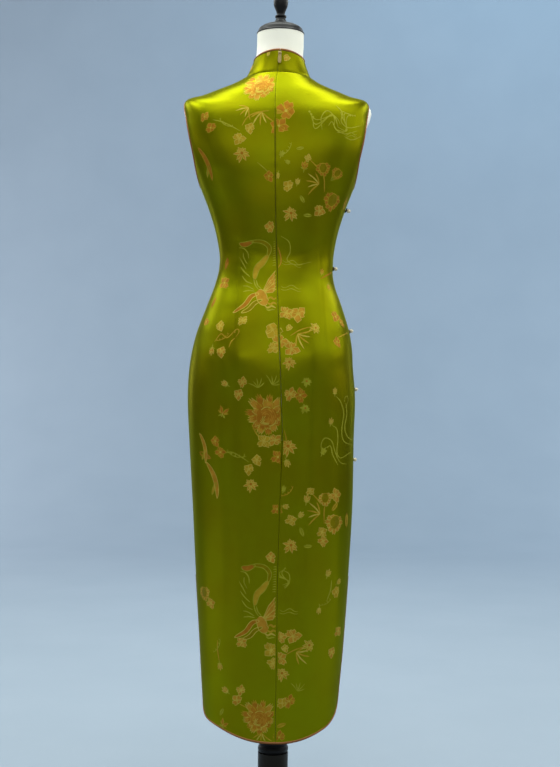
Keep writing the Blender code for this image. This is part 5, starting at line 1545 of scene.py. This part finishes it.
def fan(outline, colour):
    """A patch inside an outline, a little fuller in its middle."""
    outline = np.asarray(outline, float)
    count = len(outline)
    points = np.concatenate([[outline.mean(axis=0)], outline])
    faces = [[0, 1 + i, 1 + (i + 1) % count] for i in range(count)]
    lifts = np.array([THREAD_LIFT + THREAD_FULL] + [THREAD_LIFT] * count)
    return Patch(points, faces, colour, lifts)


def ribbon(line, width, colour, taper=0.35):
    """A patch along a line, narrower at its two ends."""
    line = np.asarray(line, float)
    along = unit(np.gradient(line, axis=0) + 1e-9)
    aside = np.stack([-along[:, 1], along[:, 0]], axis=1)
    share = np.linspace(0, 1, len(line))
    wide = width / 2 * (taper + (1 - taper) * np.sin(math.pi * share) ** 0.5)
    points = np.concatenate([line + wide[:, None] * aside, line - wide[:, None] * aside])
    count = len(line)
    faces = [[i, i + 1, i + 1 + count, i + count] for i in range(count - 1)]
    return Patch(points, faces, colour, np.full(2 * count, THREAD_LIFT))


def petal(length, width, colour, root, turn):
    """A petal that points up from root and is then turned."""
    share = np.linspace(0, 1, 7)
    half = width / 2 * np.sin(math.pi * share**0.75) ** 0.8
    rise = root + length * share
    side = [(h, -r) for h, r in zip(half, rise)]
    other = [(-h, -r) for h, r in zip(half[1:-1][::-1], rise[1:-1][::-1])]
    tip = [(0.0, -root - length)]
    return fan(turn_by(side[:-1] + tip + other, turn), colour)


def leaf(size, colour):
    """A pointed leaf in two halves, with its vein left as bare cloth between them."""
    share = np.linspace(0, 1, 6)
    wide = size * LEAF_WIDTH / 2 * np.sin(math.pi * share) ** 0.9
    halves = []
    for side in (-1, 1):
        outer = [(side * (VEIN / 2 + w), -size * t) for w, t in zip(wide, share)]
        inner = [(side * VEIN / 2, -size * 0.5)]
        halves.append(fan(outer + inner, colour))
    return halves


def moved(patches, right, down):
    return [patch._replace(points=patch.points + (right, down)) for patch in patches]


def around(patches, turn):
    return [patch._replace(points=turn_by(patch.points, turn)) for patch in patches]


def raised(patches, layers):
    """Patches lifted this many thread layers, so that they show over what they cross."""
    return [patch._replace(lifts=patch.lifts + layers * THREAD_LAYER) for patch in patches]


def edged(outline, fill, edge):
    """A patch with its outline in another thread."""
    outline = np.asarray(outline, float)
    rim = ribbon(np.append(outline, outline[:2], axis=0), EDGE, edge, 1.0)
    return [fan(outline, fill)] + raised([rim], 1)


def banded(line, width, fill, edge, taper):
    """A tapering band with a thread along each of its sides."""
    middle = ribbon(line, width, fill, taper)
    half = len(middle.points) // 2
    sides = [ribbon(middle.points[:half], EDGE, edge, 1.0),
             ribbon(middle.points[half:], EDGE, edge, 1.0)]
    return [middle] + raised(sides, 1)


def ragged(length, width, points, root, turn, colour):
    """A petal that points up from root and ends in a row of points."""
    share = np.linspace(-1, 1, 2 * points + 1)
    dip = np.where(np.arange(len(share)) % 2, 0.0, RAGGED_DIP)
    ends = -root - length * (1 - dip - RAGGED_BOW * share**2)
    tip = np.stack([width / 2 * share, ends], axis=1)
    foot = [(width * 0.2, -root), (-width * 0.2, -root)]
    return edged(turn_by(np.append(tip, foot, axis=0), turn), colour, THREAD_EDGE[colour])


def ring_line(radius, count, scallop=0.0, lobes=7):
    turns = round_turns(count)
    reach = radius * (1 + scallop * np.cos(lobes * turns))
    return np.stack([reach * np.cos(turns), reach * np.sin(turns)], axis=1)


def blossom(size, colour):
    """Four to six ragged petals of uneven length round a small heart."""
    count = 4 + int(size) % 3
    made = []
    for k in range(count):
        long = size * (0.42 + 0.10 * math.sin(2.3 * k + size))
        turn = k * 360 / count + 13 * math.sin(size + 2 * k)
        made += ragged(long, size * 2.1 / count, 1 + (k + int(size)) % 2, size * 0.06, turn, colour)
    return made + raised([fan(ring_line(size * 0.07, 7), "light")], 2)


def peony(size, colour):
    """A full flower: ragged petals round a bowl of closer and closer arcs, and a dome over it."""
    made = []
    for ring in PEONY_FRILLS:
        for k in range(ring.count):
            turn = 360 * (k + ring.start) / ring.count + 6 * math.sin(3.1 * k)
            uneven = 0.15 * math.cos(math.radians(turn + 30)) + 0.09 * math.sin(5 * k + size)
            long = size * ((1 + uneven) * ring.reach - ring.root)
            tone = colour if k % 2 else "copper"
            frill = ragged(long, size * ring.width, ring.points, size * ring.root, turn, tone)
            made += raised(frill, ring.layer)
    dome = ring_line(size * 0.11, 14) * (1.0, 0.7) + (0, -size * 0.26)
    made += raised(edged(dome, "peach", "gold"), 4)
    made += raised([fan(ring_line(size * PEONY_BOWL, 30, 0.04, 9), "copper")], 5)
    for ring in PEONY_ARCS:
        for k in range(ring.count):
            first = 360 / ring.count * k + ring.gap / 2 + ring.start
            turns = np.radians(np.linspace(first, first + 360 / ring.count - ring.gap, 11))
            reach = size * ring.reach * (1 + 0.08 * np.cos(3 * turns))
            line = np.stack([reach * np.sin(turns), size * ring.sink - reach * np.cos(turns)], 1)
            tone = "light" if k % 3 == 1 else "peach"
            made += raised([ribbon(line, size * ring.width, tone, 0.5)], 6)
    return moved(made, size * PEONY_SET[0], size * PEONY_SET[1])


def star(size, colour):
    """A small many-petalled flower seen from its side, fuller below than above."""
    made = []
    for k in range(10):
        lean = 36 * k + 8 * math.sin(4 * k)
        long = size * (0.36 - 0.12 * math.cos(math.radians(lean)) + 0.05 * math.sin(3 * k))
        made += ragged(long, size * 0.15, 1, size * 0.05, lean, colour)
    return made + raised([fan(ring_line(size * 0.09, 7), "copper")], 2)


def ring_flower(size, colour):
    """An open flower: an oval heart with ragged petals crowded on its lower side."""
    made = []
    for k in range(10):
        lean = 180 + (k - 4.5) * 30
        long = size * (0.25 + 0.05 * math.sin(1.9 * k) - 0.02 * abs(k - 4.5))
        made += ragged(long, size * 0.17, 2, size * 0.22, lean, colour)
    heart = ring_line(size * 0.24, 24, 0.04, 6) * (0.9, 1.15)
    return made + raised(edged(heart, "olive", "gold"), 2)


def bud(size, colour):
    """A closed flower of three close petals on its calyx."""
    made = []
    for lean in (-24, 24, 0):
        made += ragged(size * (0.62 if lean else 0.72), size * 0.24, 1, 0.0, lean, colour)
    return made + [petal(size * 0.34, size * 0.12, "pale", 0.0, lean) for lean in (-75, 75, 180)]


def spray(size, colour):
    """Slim leaves of uneven length that fan out from one place."""
    made = []
    for k in range(SPRAY_LEAVES):
        lean = (k - (SPRAY_LEAVES - 1) / 2) * SPRAY_SPREAD / SPRAY_LEAVES
        long = size * (0.9 - 0.2 * ((k * 2) % 3) / 2)
        line = turn_by([(0, 0), (long * 0.05, -long * 0.5), (0, -long)], lean)
        tone = THREAD_EDGE[colour] if k % 2 else colour
        made.append(ribbon(smoothed(line, 3), size * 0.085, tone, 0.15))
    return made


def sprig(size, colour):
    """A curved twig with small leaves on both sides."""
    share = np.linspace(-0.5, 0.5, 11)
    line = np.stack([size * share, size * 0.16 * np.cos(math.pi * share) - size * 0.08], axis=1)
    made = [ribbon(line, STEM_WIDTH * 0.7, colour)]
    for k in range(1, 10):
        side = -1 if k % 2 else 1
        lean = 50 * side + 30 + 12 * math.sin(3 * k)
        made += moved([petal(size * 0.15, size * 0.05, colour, 0.0, lean)], *line[k])
    return made


def curl(size, colour):
    """A thin line that bows over and ends in a small eye."""
    turns = np.linspace(-0.3, 1.25 * math.pi, 22)
    reach = size * 0.3 * (1 - 0.12 * turns)
    line = np.stack([reach * np.cos(turns), -reach * 1.3 * np.sin(turns)], axis=1)
    tail = np.array([(size * 0.26, size * 0.5), (size * 0.3, size * 0.25)])
    line = np.concatenate([tail, line])
    eye = moved([fan(ring_line(size * 0.07, 8), colour)], *line[-1])
    return [ribbon(smoothed(line, 2), SCROLL_WIDTH, colour, 0.5)] + eye


def scroll(size, colour):
    """Three long lines that swing together and part again, each with an eye at its end."""
    share = np.linspace(0, 1, 25)
    made = []
    for k, (reach, swing) in enumerate(((0.5, 0.16), (0.42, 0.24), (0.34, 0.31))):
        line = np.stack([size * (2 * share - 1) * reach,
                         size * (swing * np.sin(2 * math.pi * share) + 0.06 * k)], axis=1)
        made.append(ribbon(line, SCROLL_WIDTH, colour, 0.5))
        made += moved([fan(ring_line(size * 0.035, 8), colour)], *line[0])
    return made


def plume(size, colour):
    """A bowed feather that runs out to a point at both ends, with a short barb at its side."""
    share = np.linspace(-1, 1, 15)
    line = np.stack([size * PLUME_BOW * (1 - share**2), size / 2 * share], axis=1)
    barb = [(size * PLUME_BOW, size * 0.1), (0, size * 0.22), (-size * PLUME_BOW, size * 0.36)]
    made = banded(smoothed(barb, 3), size * PLUME_WIDTH * 0.6, "gold", "pale", 0.1)
    return made + raised(banded(line, size * PLUME_WIDTH, colour, THREAD_EDGE[colour], 0.0), 2)


def wave(size, colour):
    """Two thin wavering lines, one under the other."""
    share = np.linspace(0, 1, 25)
    made = []
    for down, depth in ((0.0, 0.08), (size * 0.16, 0.05)):
        line = np.stack([size * (share - 0.5), down + size * depth * np.sin(9 * share)], axis=1)
        made.append(ribbon(line, SCROLL_WIDTH * 0.8, colour))
    return made


def butterfly(size, colour):
    """A small butterfly with raised wings."""
    made = []
    for side in (-1, 1):
        made += ragged(size * 0.5, size * 0.2, 1, size * 0.05, side * 32, colour)
        made.append(petal(size * 0.36, size * 0.12, "gold", size * 0.05, side * 68))
        made.append(petal(size * 0.28, size * 0.13, "pale", size * 0.04, side * 130))
    body = [(0, -size * 0.12), (0, 0), (0, size * 0.2)]
    return made + raised([ribbon(body, size * 0.06, "light")], 2)


def bird(size, colour):
    """A long-necked bird in flight: bowed neck, raised wing, long tail and thin loose plumes."""
    made = []
    for stroke in BIRD_STROKES:
        line = smoothed(np.array(stroke.line) * size, 5)
        if stroke.edge:
            made += banded(line, stroke.width * size, stroke.fill, stroke.edge, stroke.taper)
        else:
            made.append(ribbon(line, stroke.width * size, stroke.fill, stroke.taper))
    for k in range(BIRD_QUILLS):
        long = size * (0.27 - 0.024 * k)
        quill = ragged(long, size * 0.045, 1, size * 0.02, BIRD_WING_LEAN + k * BIRD_WING_STEP, colour)
        made += raised(moved(quill, size * 0.02, size * 0.20), k % 2)
    for k in range(BIRD_BARBS):
        down = size * (-0.40 + 0.028 * k)
        barb = [(size * 0.11, down), (size * 0.14, down - size * 0.006), (size * 0.165, down)]
        made.append(ribbon(barb, size * 0.013, "pale"))
    return made


DRAWINGS = {
    "blossom": blossom, "peony": peony, "star": star, "ring": ring_flower, "bud": bud,
    "spray": spray, "sprig": sprig, "curl": curl, "scroll": scroll, "plume": plume,
    "wave": wave, "butterfly": butterfly, "bird": bird, "leaf": leaf,
}


def cast(u, v):
    """The stations and angles of the back's skin that the photo's pixels show."""
    u, v = np.asarray(u, float), np.asarray(v, float)
    sine, cosine = math.sin(CAMERA_ROLL), math.cos(CAMERA_ROLL)
    right, up = u - PHOTO_MIDDLE[0], PHOTO_MIDDLE[1] - v
    slope_x = (-cosine * right + sine * up) / FOCAL_PIXELS
    slope_z = (sine * right + cosine * up) / FOCAL_PIXELS
    depth = np.full(u.shape, CAMERA_Y - CAST_DEPTH)
    station = np.full(u.shape, HEM / 2)
    for _ in range(CAST_ROUNDS):
        x, z = CAMERA_X + slope_x * depth, CAMERA_Z + slope_z * depth
        angle = angle_at_x(columns(station), x)
        here = skin(station, angle)
        below = skin(np.minimum(station + CAST_STEP, HEM), angle)
        rate = np.minimum((below[..., 2] - here[..., 2]) / CAST_STEP, CAST_RATE)
        change = np.clip((z - here[..., 2]) / rate, -CAST_MOST, CAST_MOST)
        station = np.clip(station + change, CAST_STEP, HEM - CAST_STEP)
        depth = CAMERA_Y - here[..., 1]
    return station, angle


def motif_places():
    """(patches, station, angle) of every motif on the back."""
    stations, angles = cast([motif.u for motif in MOTIFS], [motif.v for motif in MOTIFS])
    made = []
    for motif, station, angle in zip(MOTIFS, stations, angles):
        patches = DRAWINGS[motif.kind](motif.size, motif.colour)
        made.append((around(patches, motif.turn), station, angle))
    return made


def laid(patches, station, angle):
    """Patches on the skin: (stations, angles, patch) of each."""
    place, _, forward, down = cloth_frame(station, angle)
    points = np.concatenate([patch.points for patch in patches])
    flat = place + points[:, :1] * forward + points[:, 1:] * down
    stations, angles = nearest_on_skin(flat, station, angle)
    ends = np.cumsum([len(patch.points) for patch in patches])[:-1]
    return list(zip(np.split(stations, ends), np.split(angles, ends), patches))


def branches():
    """The twigs between the motifs, laid straight from their pixels."""
    made = []
    for twig in TWIGS:
        line = ribbon(smoothed(twig.line, 4), STEM_WIDTH / PIXEL_SIZE, twig.colour)
        stations, angles = cast(line.points[:, 0], line.points[:, 1])
        made.append((stations, angles, line))
    return made


def woven_patches(face):
    """(stations, angles, patch) of a face's weave. The front has the back's, seen from inside."""
    made = []
    for patches, station, angle in motif_places():
        made += laid(patches, station, angle if face == BACK else math.pi - angle)
    for stations, angles, patch in branches():
        made.append((stations, angles if face == BACK else math.pi - angles, patch))
    return made


def weave_mesh(name, pieces, finishes):
    """One mesh of thread patches, from the points and the patch of each."""
    points, faces, tones = [], [], []
    for places, patch in pieces:
        start = len(points)
        points += places.tolist()
        faces += [[start + i for i in face] for face in patch.faces]
        tones += [patch.colour] * len(patch.faces)
    mesh = bpy.data.meshes.new(name)
    mesh.from_pydata((np.array(points) * MM).tolist(), [], faces)
    for tone in THREADS:
        mesh.materials.append(finishes["thread_" + tone])
    order = list(THREADS)
    mesh.polygons.foreach_set("material_index", [order.index(tone) for tone in tones])
    made = linked(name, mesh)
    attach(made, GARMENT)
    return made


def weave(name, rows, patches, finishes):
    """The patches that lie on a panel; its edges cut off what crosses them."""
    rows = np.array(rows)
    low, high = rows[0, 0] + WEAVE_TOP, rows[-1, 0] - WEAVE_FOOT
    pieces = []
    for stations, angles, patch in patches:
        middle_station, middle_angle = stations.mean(), angles.mean()
        first, last = (np.interp(middle_station, rows[:, 0], rows[:, side]) for side in (1, 2))
        if not (low < middle_station < high and first < middle_angle < last):
            continue
        stations = np.clip(stations, low, high)
        rate = np.linalg.norm(tangents(stations, angles)[1], axis=1)
        first, last = (np.interp(stations, rows[:, 0], rows[:, side]) for side in (1, 2))
        angles = np.clip(angles, first + WEAVE_EDGE / rate, last - WEAVE_EDGE / rate)
        pieces.append((lifted(stations, angles, WALL + patch.lifts), patch))
    return weave_mesh(name, pieces, finishes)


def collar_weave(name, side, finishes):
    """The small motifs on one half of the collar."""
    pieces = []
    way = 1 if side == LEFT else -1
    for motif in [motif for motif in COLLAR_MOTIFS if motif.side == side]:
        for patch in DRAWINGS[motif.kind](motif.size, motif.colour):
            right, down = patch.points.T
            rise = motif.rise - down / collar_height()
            angle = way * math.radians(motif.degrees) - right / COLLAR_TOP.half
            height = WALL + patch.lifts - collar_hollow(rise, angle)
            pieces.append((collar_out(rise, angle, height), patch))
    return weave_mesh(name, pieces, finishes)


# ---------------------------------------------------------------- dress form and stand
def form_ring(station):
    """A ring of the form under the cloth, with its shoulder ends filling the armholes."""
    angles = round_turns(FORM_COLUMNS)
    from_side = np.abs(skin(station, angles)[:, 1])
    if station < ARMHOLE_TOP:
        clear = YOKE_CLEAR + (FORM_SEAT - YOKE_CLEAR) * np.clip(1 - from_side / SEAT_WIDTH, 0, 1)
    else:
        clear = np.full(len(angles), np.interp(station, YOKE_END, [YOKE_CLEAR, FORM_CLEAR]))
    if station == 0:
        return skin(station, angles) - clear[:, None] * neck_miter(angles)
    points = skin(station, angles) - clear[:, None] * normals(station, angles)
    if ARMHOLE_TOP < station < ARMHOLE_FOOT:
        bulge = np.interp(station, *np.array(ARM_BULGE).T)
        bulge = np.where((points[:, 0] < 0) & (bulge > 0), bulge * RIGHT_BULGE, bulge)
        behind = points[:, 1] > 0
        halves = (behind, ARMHOLE_BACK, "back"), (~behind, ARMHOLE_FRONT, "front")
        for here, reach, name in halves:
            turn = armhole_turn(station, 0.0, reach, name)
            edge = column(name, station) * math.sin(turn) ** (2 / column("square", station))
            reached = np.abs(points[:, 1]) / max(edge - BULGE_CLEAR, LEAST_EDGE)
            share = np.clip(1 - reached**2, 0, 1)
            points[:, 0] += np.where(here, np.sign(points[:, 0]) * bulge * share, 0)
    return points


def dress_form(name, finish):
    """The form: torso with shoulder ends and neck, closed by a flat foot and a flat neck top."""
    turns = round_turns(FORM_COLUMNS)
    rings = []
    for station in fine_stations(0.0, FORM_FOOT, FORM_ROW_STEP)[::-1]:
        rings.append(form_ring(float(station)))
    for rise in np.linspace(*COLLAR_RINGS):
        rings.append(collar_out(rise, turns, np.full(len(turns), -YOKE_CLEAR)))
    for height in np.linspace(NECK_FOOT, NECK_TOP, NECK_RINGS):
        rings.append(np.stack([NECK_RADIUS * np.sin(turns), NECK_RADIUS * np.cos(turns),
                               np.full(len(turns), height)], axis=1))
    return tube(name, rings, finish)


def turned(name, turns, foot, finish, sides):
    """A solid turned about Z over its foot, with flat ends."""
    angles = round_turns(sides)
    sections = [
        np.stack([radius * np.cos(angles), radius * np.sin(angles), np.full(sides, foot + z)], 1)
        for radius, z in smoothed([(turn.radius, turn.z) for turn in turns], TURN_STEPS)
    ]
    return tube(name, sections, finish)


# ---------------------------------------------------------------- materials
def feed(tree, socket, value):
    """Links a socket to another, or sets its value."""
    if isinstance(value, bpy.types.NodeSocket):
        tree.links.new(value, socket)
    else:
        socket.default_value = value


def node(tree, kind, inputs=None, **settings):
    """A node with its settings and inputs; an input is a value or another node's output."""
    made = tree.nodes.new(kind)
    for name, value in settings.items():
        setattr(made, name, value)
    for name, value in (inputs or {}).items():
        feed(tree, made.inputs[name], value)
    return made


def noise(tree, coordinates, scale, detail=2.0, stretch=(1.0, 1.0, 1.0)):
    """Noise over some coordinates in metres; scale is in lumps per metre."""
    mapped = node(tree, "ShaderNodeMapping", {"Vector": coordinates, "Scale": stretch})
    inputs = {"Vector": mapped.outputs["Vector"], "Scale": scale, "Detail": detail}
    return node(tree, "ShaderNodeTexNoise", inputs).outputs["Fac"]


def blend(tree, share, stops):
    """Colours by a share: stops are (place, colour)."""
    made = node(tree, "ShaderNodeValToRGB", {"Fac": share})
    ramp = made.color_ramp
    while len(ramp.elements) < len(stops):
        ramp.elements.new(0.5)
    for element, (place, colour) in zip(ramp.elements, stops):
        element.position = place
        element.color = (*colour, 1.0)
    return made.outputs["Color"]


def clouded(tree, share, dark, light):
    """A slow change between two tones."""
    return blend(tree, share, [(CLOUD_STOPS[0], dark), (CLOUD_STOPS[1], light)])


def bump(tree, height, depth, before=None):
    """A bump this deep in metres, over another one if given."""
    inputs = {"Height": height, "Distance": depth, "Strength": 1.0}
    if before is not None:
        inputs["Normal"] = before
    return node(tree, "ShaderNodeBump", inputs).outputs["Normal"]


def surface(name, roughness, metallic=0.0, coat=0.0, sheen=0.0, glint=(1.0, 1.0, 1.0)):
    """A material, its tree and its shader. glint tints what it reflects."""
    made = bpy.data.materials.new(name)
    made.use_nodes = True
    tree = made.node_tree
    shader = tree.nodes["Principled BSDF"]
    values = {"Roughness": roughness, "Metallic": metallic, "Coat Weight": coat,
              "Sheen Weight": sheen, "Specular Tint": (*glint, 1.0)}
    for socket, value in values.items():
        shader.inputs[socket].default_value = value
    return made, tree, shader


def cloth_surface(name, dark, light, roughness, metallic, glint):
    """Satin: long fine floats in the bump, and a slow change of colour."""
    made, tree, shader = surface(name, roughness, metallic, glint=glint)
    flat = node(tree, "ShaderNodeUVMap", uv_map="Cloth").outputs["UV"]
    cloud = noise(tree, flat, CLOUDS_PER_METRE, 3.0)
    floats = noise(tree, flat, WEAVE, 1.0, (1.0, FLOAT_LENGTH, 1.0))
    picks = noise(tree, flat, WEAVE * PICKS, 1.0, (FLOAT_LENGTH, 1.0, 1.0))
    feed(tree, shader.inputs["Base Color"], clouded(tree, cloud, dark, light))
    fine = bump(tree, floats, WEAVE_DEPTH)
    feed(tree, shader.inputs["Normal"], bump(tree, picks, WEAVE_DEPTH * 0.6, fine))
    return made


def thread_surface(name, dark, light):
    """A motif's thread: floats that run across the cloth."""
    made, tree, shader = surface(name, THREAD_ROUGHNESS, THREAD_METALLIC, glint=THREAD_GLINT)
    place = node(tree, "ShaderNodeTexCoord").outputs["Object"]
    cloud = noise(tree, place, THREAD_CLOUDS, 2.0)
    floats = noise(tree, place, WEAVE * 0.6, 1.0, (FLOAT_LENGTH, FLOAT_LENGTH, 1.0))
    feed(tree, shader.inputs["Base Color"], clouded(tree, cloud, dark, light))
    feed(tree, shader.inputs["Normal"], bump(tree, floats, WEAVE_DEPTH))
    return made


def solid_surface(finish):
    """A hard finish with a little grain in its colour and in its bump."""
    made, tree, shader = surface(finish.name, finish.roughness, finish.metallic, finish.coat,
                                 glint=finish.glint)
    place = node(tree, "ShaderNodeTexCoord").outputs["Object"]
    grains = noise(tree, place, finish.grain, GRAIN_DETAIL, finish.stretch)
    stops = [(GRAIN_STOPS[0], finish.dark), (GRAIN_STOPS[1], finish.light)]
    feed(tree, shader.inputs["Base Color"], blend(tree, grains, stops))
    feed(tree, shader.inputs["Normal"], bump(tree, grains, finish.depth))
    return made


def jersey_surface(name):
    """The form's off-white knitted cover: fine vertical wales in the bump."""
    made, tree, shader = surface(name, JERSEY_ROUGHNESS, sheen=JERSEY_SHEEN)
    place = node(tree, "ShaderNodeTexCoord").outputs["Object"]
    cloud = noise(tree, place, JERSEY_CLOUDS, 3.0)
    wales = noise(tree, place, WALES, 1.0, (1.0, 1.0, WALE_LENGTH))
    feed(tree, shader.inputs["Base Color"], clouded(tree, cloud, *JERSEY))
    feed(tree, shader.inputs["Normal"], bump(tree, wales, WALE_DEPTH))
    return made


# ---------------------------------------------------------------- the picture
def sweep(name, finish):
    """A pale floor that curves up into a wall behind the garment."""
    turns = np.linspace(0, math.pi / 2, SWEEP_POINTS)
    line = [(SWEEP_NEAR, 0.0), (SWEEP_FOOT, 0.0)]
    line += [(SWEEP_FOOT - SWEEP_CURVE * math.sin(t), SWEEP_CURVE * (1 - math.cos(t)))
             for t in turns[1:]]
    line.append((SWEEP_FOOT - SWEEP_CURVE, SWEEP_HEIGHT))
    points = [(side * SWEEP_SIDE, y, z) for y, z in line for side in (-1, 1)]
    made = add_object(name, points, grid_faces(len(line), 2), [finish])
    made.data.flip_normals()


def area_light(name, place, size, power, colour, aim):
    """A soft light at a place, in metres, pointed at another."""
    light = bpy.data.lights.new(name, "AREA")
    light.shape = "RECTANGLE"
    light.size, light.size_y = size
    light.energy = power
    light.color = colour
    back = unit(np.array(place) - np.array(aim))
    aside = unit(np.cross([0.0, 0.0, 1.0], back))
    linked(name, light).matrix_world = frame_matrix(aside, np.cross(back, aside), back, place)


def camera():
    """The photo's camera: level, behind the garment and rolled a little."""
    data = bpy.data.cameras.new("camera")
    data.sensor_width = SENSOR
    data.lens = FOCAL_PIXELS * SENSOR / PHOTO_HEIGHT
    made = linked("camera", data)
    sine, cosine = math.sin(CAMERA_ROLL), math.cos(CAMERA_ROLL)
    place = [CAMERA_X * MM, CAMERA_Y * MM, CAMERA_Z * MM]
    made.matrix_world = frame_matrix((-cosine, 0, sine), (sine, 0, cosine), (0, 1, 0), place)
    bpy.context.scene.camera = made


def panel_light(side):
    """One of the panels that stand round the garment and face it."""
    across, up = math.radians(side.azimuth), math.radians(side.elevation)
    away = np.array([math.cos(up) * math.sin(across), math.cos(up) * math.cos(across),
                     math.sin(up)])
    area_light(f"panel {side.azimuth} {side.elevation}",
               np.array(PANEL_CENTRE) + PANEL_DISTANCE * away, (side.width, PANEL_HEIGHT),
               side.power, LOW if side.elevation < LOW_REACH else HIGH, PANEL_CENTRE)


def lights():
    """The studio's lights and its dim surroundings, shown without a film curve."""
    bpy.context.scene.view_settings.view_transform = "Standard"
    for light in LIGHTS:
        area_light(*light)
    for side in PANELS:
        panel_light(side)
    world = bpy.data.worlds.new("studio")
    world.use_nodes = True
    background = world.node_tree.nodes["Background"]
    background.inputs["Color"].default_value = (*WORLD_COLOUR, 1.0)
    background.inputs["Strength"].default_value = WORLD_STRENGTH
    bpy.context.scene.world = world


# ---------------------------------------------------------------- the whole scene
def keep(made, slot, *nodes, body=GARMENT):
    """A finished piece: what it stands for, what it moves with and its material slot, which is not
    used.
    """
    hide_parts(*nodes)
    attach(made, body)
    return made


def panel_rows():
    """Every panel's rows, by node name."""
    return {
        "back_left": back_rows(LEFT),
        "back_right": back_rows(RIGHT),
        "front": front_rows(),
        "front_right_shoulder": shoulder_rows(),
    }


def add_cloth(finishes):
    """The panels and collar halves, by node name."""
    brocade = finishes["lime_brocade"]
    made = {name: panel(f"cloth_{name}", rows, PANEL_COLUMNS[name], brocade)
            for name, rows in panel_rows().items()}
    for name, side in SIDES:
        made[f"collar_{name}"] = collar_half(f"cloth_collar_{name}", side, brocade)
    for name, piece in made.items():
        keep(piece, "lime_brocade", name)
    return made


def add_weave(finishes):
    """The brocade's motifs: one mesh for each piece that shows them, by its node name."""
    back, front = woven_patches(BACK), woven_patches(FRONT)
    made = {}
    for name, rows in panel_rows().items():
        patches = back if name.startswith("back") else front
        short = name.replace("front_right_", "")
        made[name] = [weave(f"weave_{short}", rows, patches, finishes)]
    for name, side in SIDES:
        made[f"collar_{name}"] = [collar_weave(f"weave_collar_{name}", side, finishes)]
    return made


def add_bindings(finishes):
    """The bound edges, by node name."""
    satin = finishes["copper_binding"]
    made = {}
    for name, side in SIDES:
        made[f"armhole_{name}"] = armhole_binding(f"bound_armhole_{name}", side, satin)
    made["front_edge"] = front_edge_binding("bound_front_edge", satin)
    for name, side in SIDES:
        made[f"collar_{name}"] = collar_binding(f"bound_collar_{name}", side, satin)
    for name, face in (("back", BACK), ("front", FRONT)):
        made[f"hem_{name}"] = hem_binding(f"bound_hem_{name}", face, satin)
    for name, piece in made.items():
        keep(piece, "copper_binding", f"binding_{name}")
    return made


def add_turned(pieces, foot, finishes):
    """Turned pieces one on another from this height. Gives the height over the last."""
    for piece in pieces:
        made = turned(piece.name, piece.profile, foot, finishes[piece.slot], piece.sides)
        keep(made, piece.slot, piece.node)
        foot = foot + piece.profile[-1].z + SEAM_GAP
    return foot


def add_stand(finishes):
    """The form, its cap and finial, and the stand."""
    keep(dress_form("form_body", finishes["form_jersey"]), "form_jersey", "dress_form")
    foot = add_turned(STAND, 0.0, finishes)
    length = float(column("side_z", FORM_FOOT)) - SEAM_GAP - foot
    pole = [Turn(POLE_RADIUS, share * length) for share in np.linspace(0, 1, POLE_RINGS)]
    add_turned([Turned("turned_pole", pole, "black_wood", "stand_pole")], foot, finishes)
    add_turned(NECK_PIECES, NECK_TOP + SEAM_GAP, finishes)


def add_zip(finishes):
    """The zip and the collar's hook. Gives the ones that go with the front's cloth."""
    strip = zip_strip("zip_strip", [finishes["zip_tape"], finishes["zip_coil"]])
    keep(strip, "zip_tape", "zip_tape")
    metal = finishes["zip_metal"]
    keep(zip_slider("slider", metal), "zip_metal", "zip_slider")
    keep(zip_pull("pull", metal), "zip_metal", "zip_pull", body=PULL_TAB)
    hook = sewn_hook("hook", finishes["hook_steel"])
    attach(hook, GARMENT)
    return [strip, hook]


def all_finishes():
    """Every material by name."""
    cloths = {name: cloth_surface(*finish) for name, finish in CLOTHS.items()}
    threads = {f"thread_{name}": thread_surface(f"thread_{name}", *tone)
               for name, tone in THREADS.items()}
    solids = {name: solid_surface(finish) for name, finish in SOLIDS.items()}
    return cloths | threads | solids | {"form_jersey": jersey_surface("jersey")}


def main():
    finishes = all_finishes()
    cloth = add_cloth(finishes)
    bindings = add_bindings(finishes)
    small = add_fastenings(finishes) + add_zip(finishes)
    add_stand(finishes)
    add_weave(finishes)
    sweep("sweep", solid_surface(PAPER))
    lights()
    camera()


main()
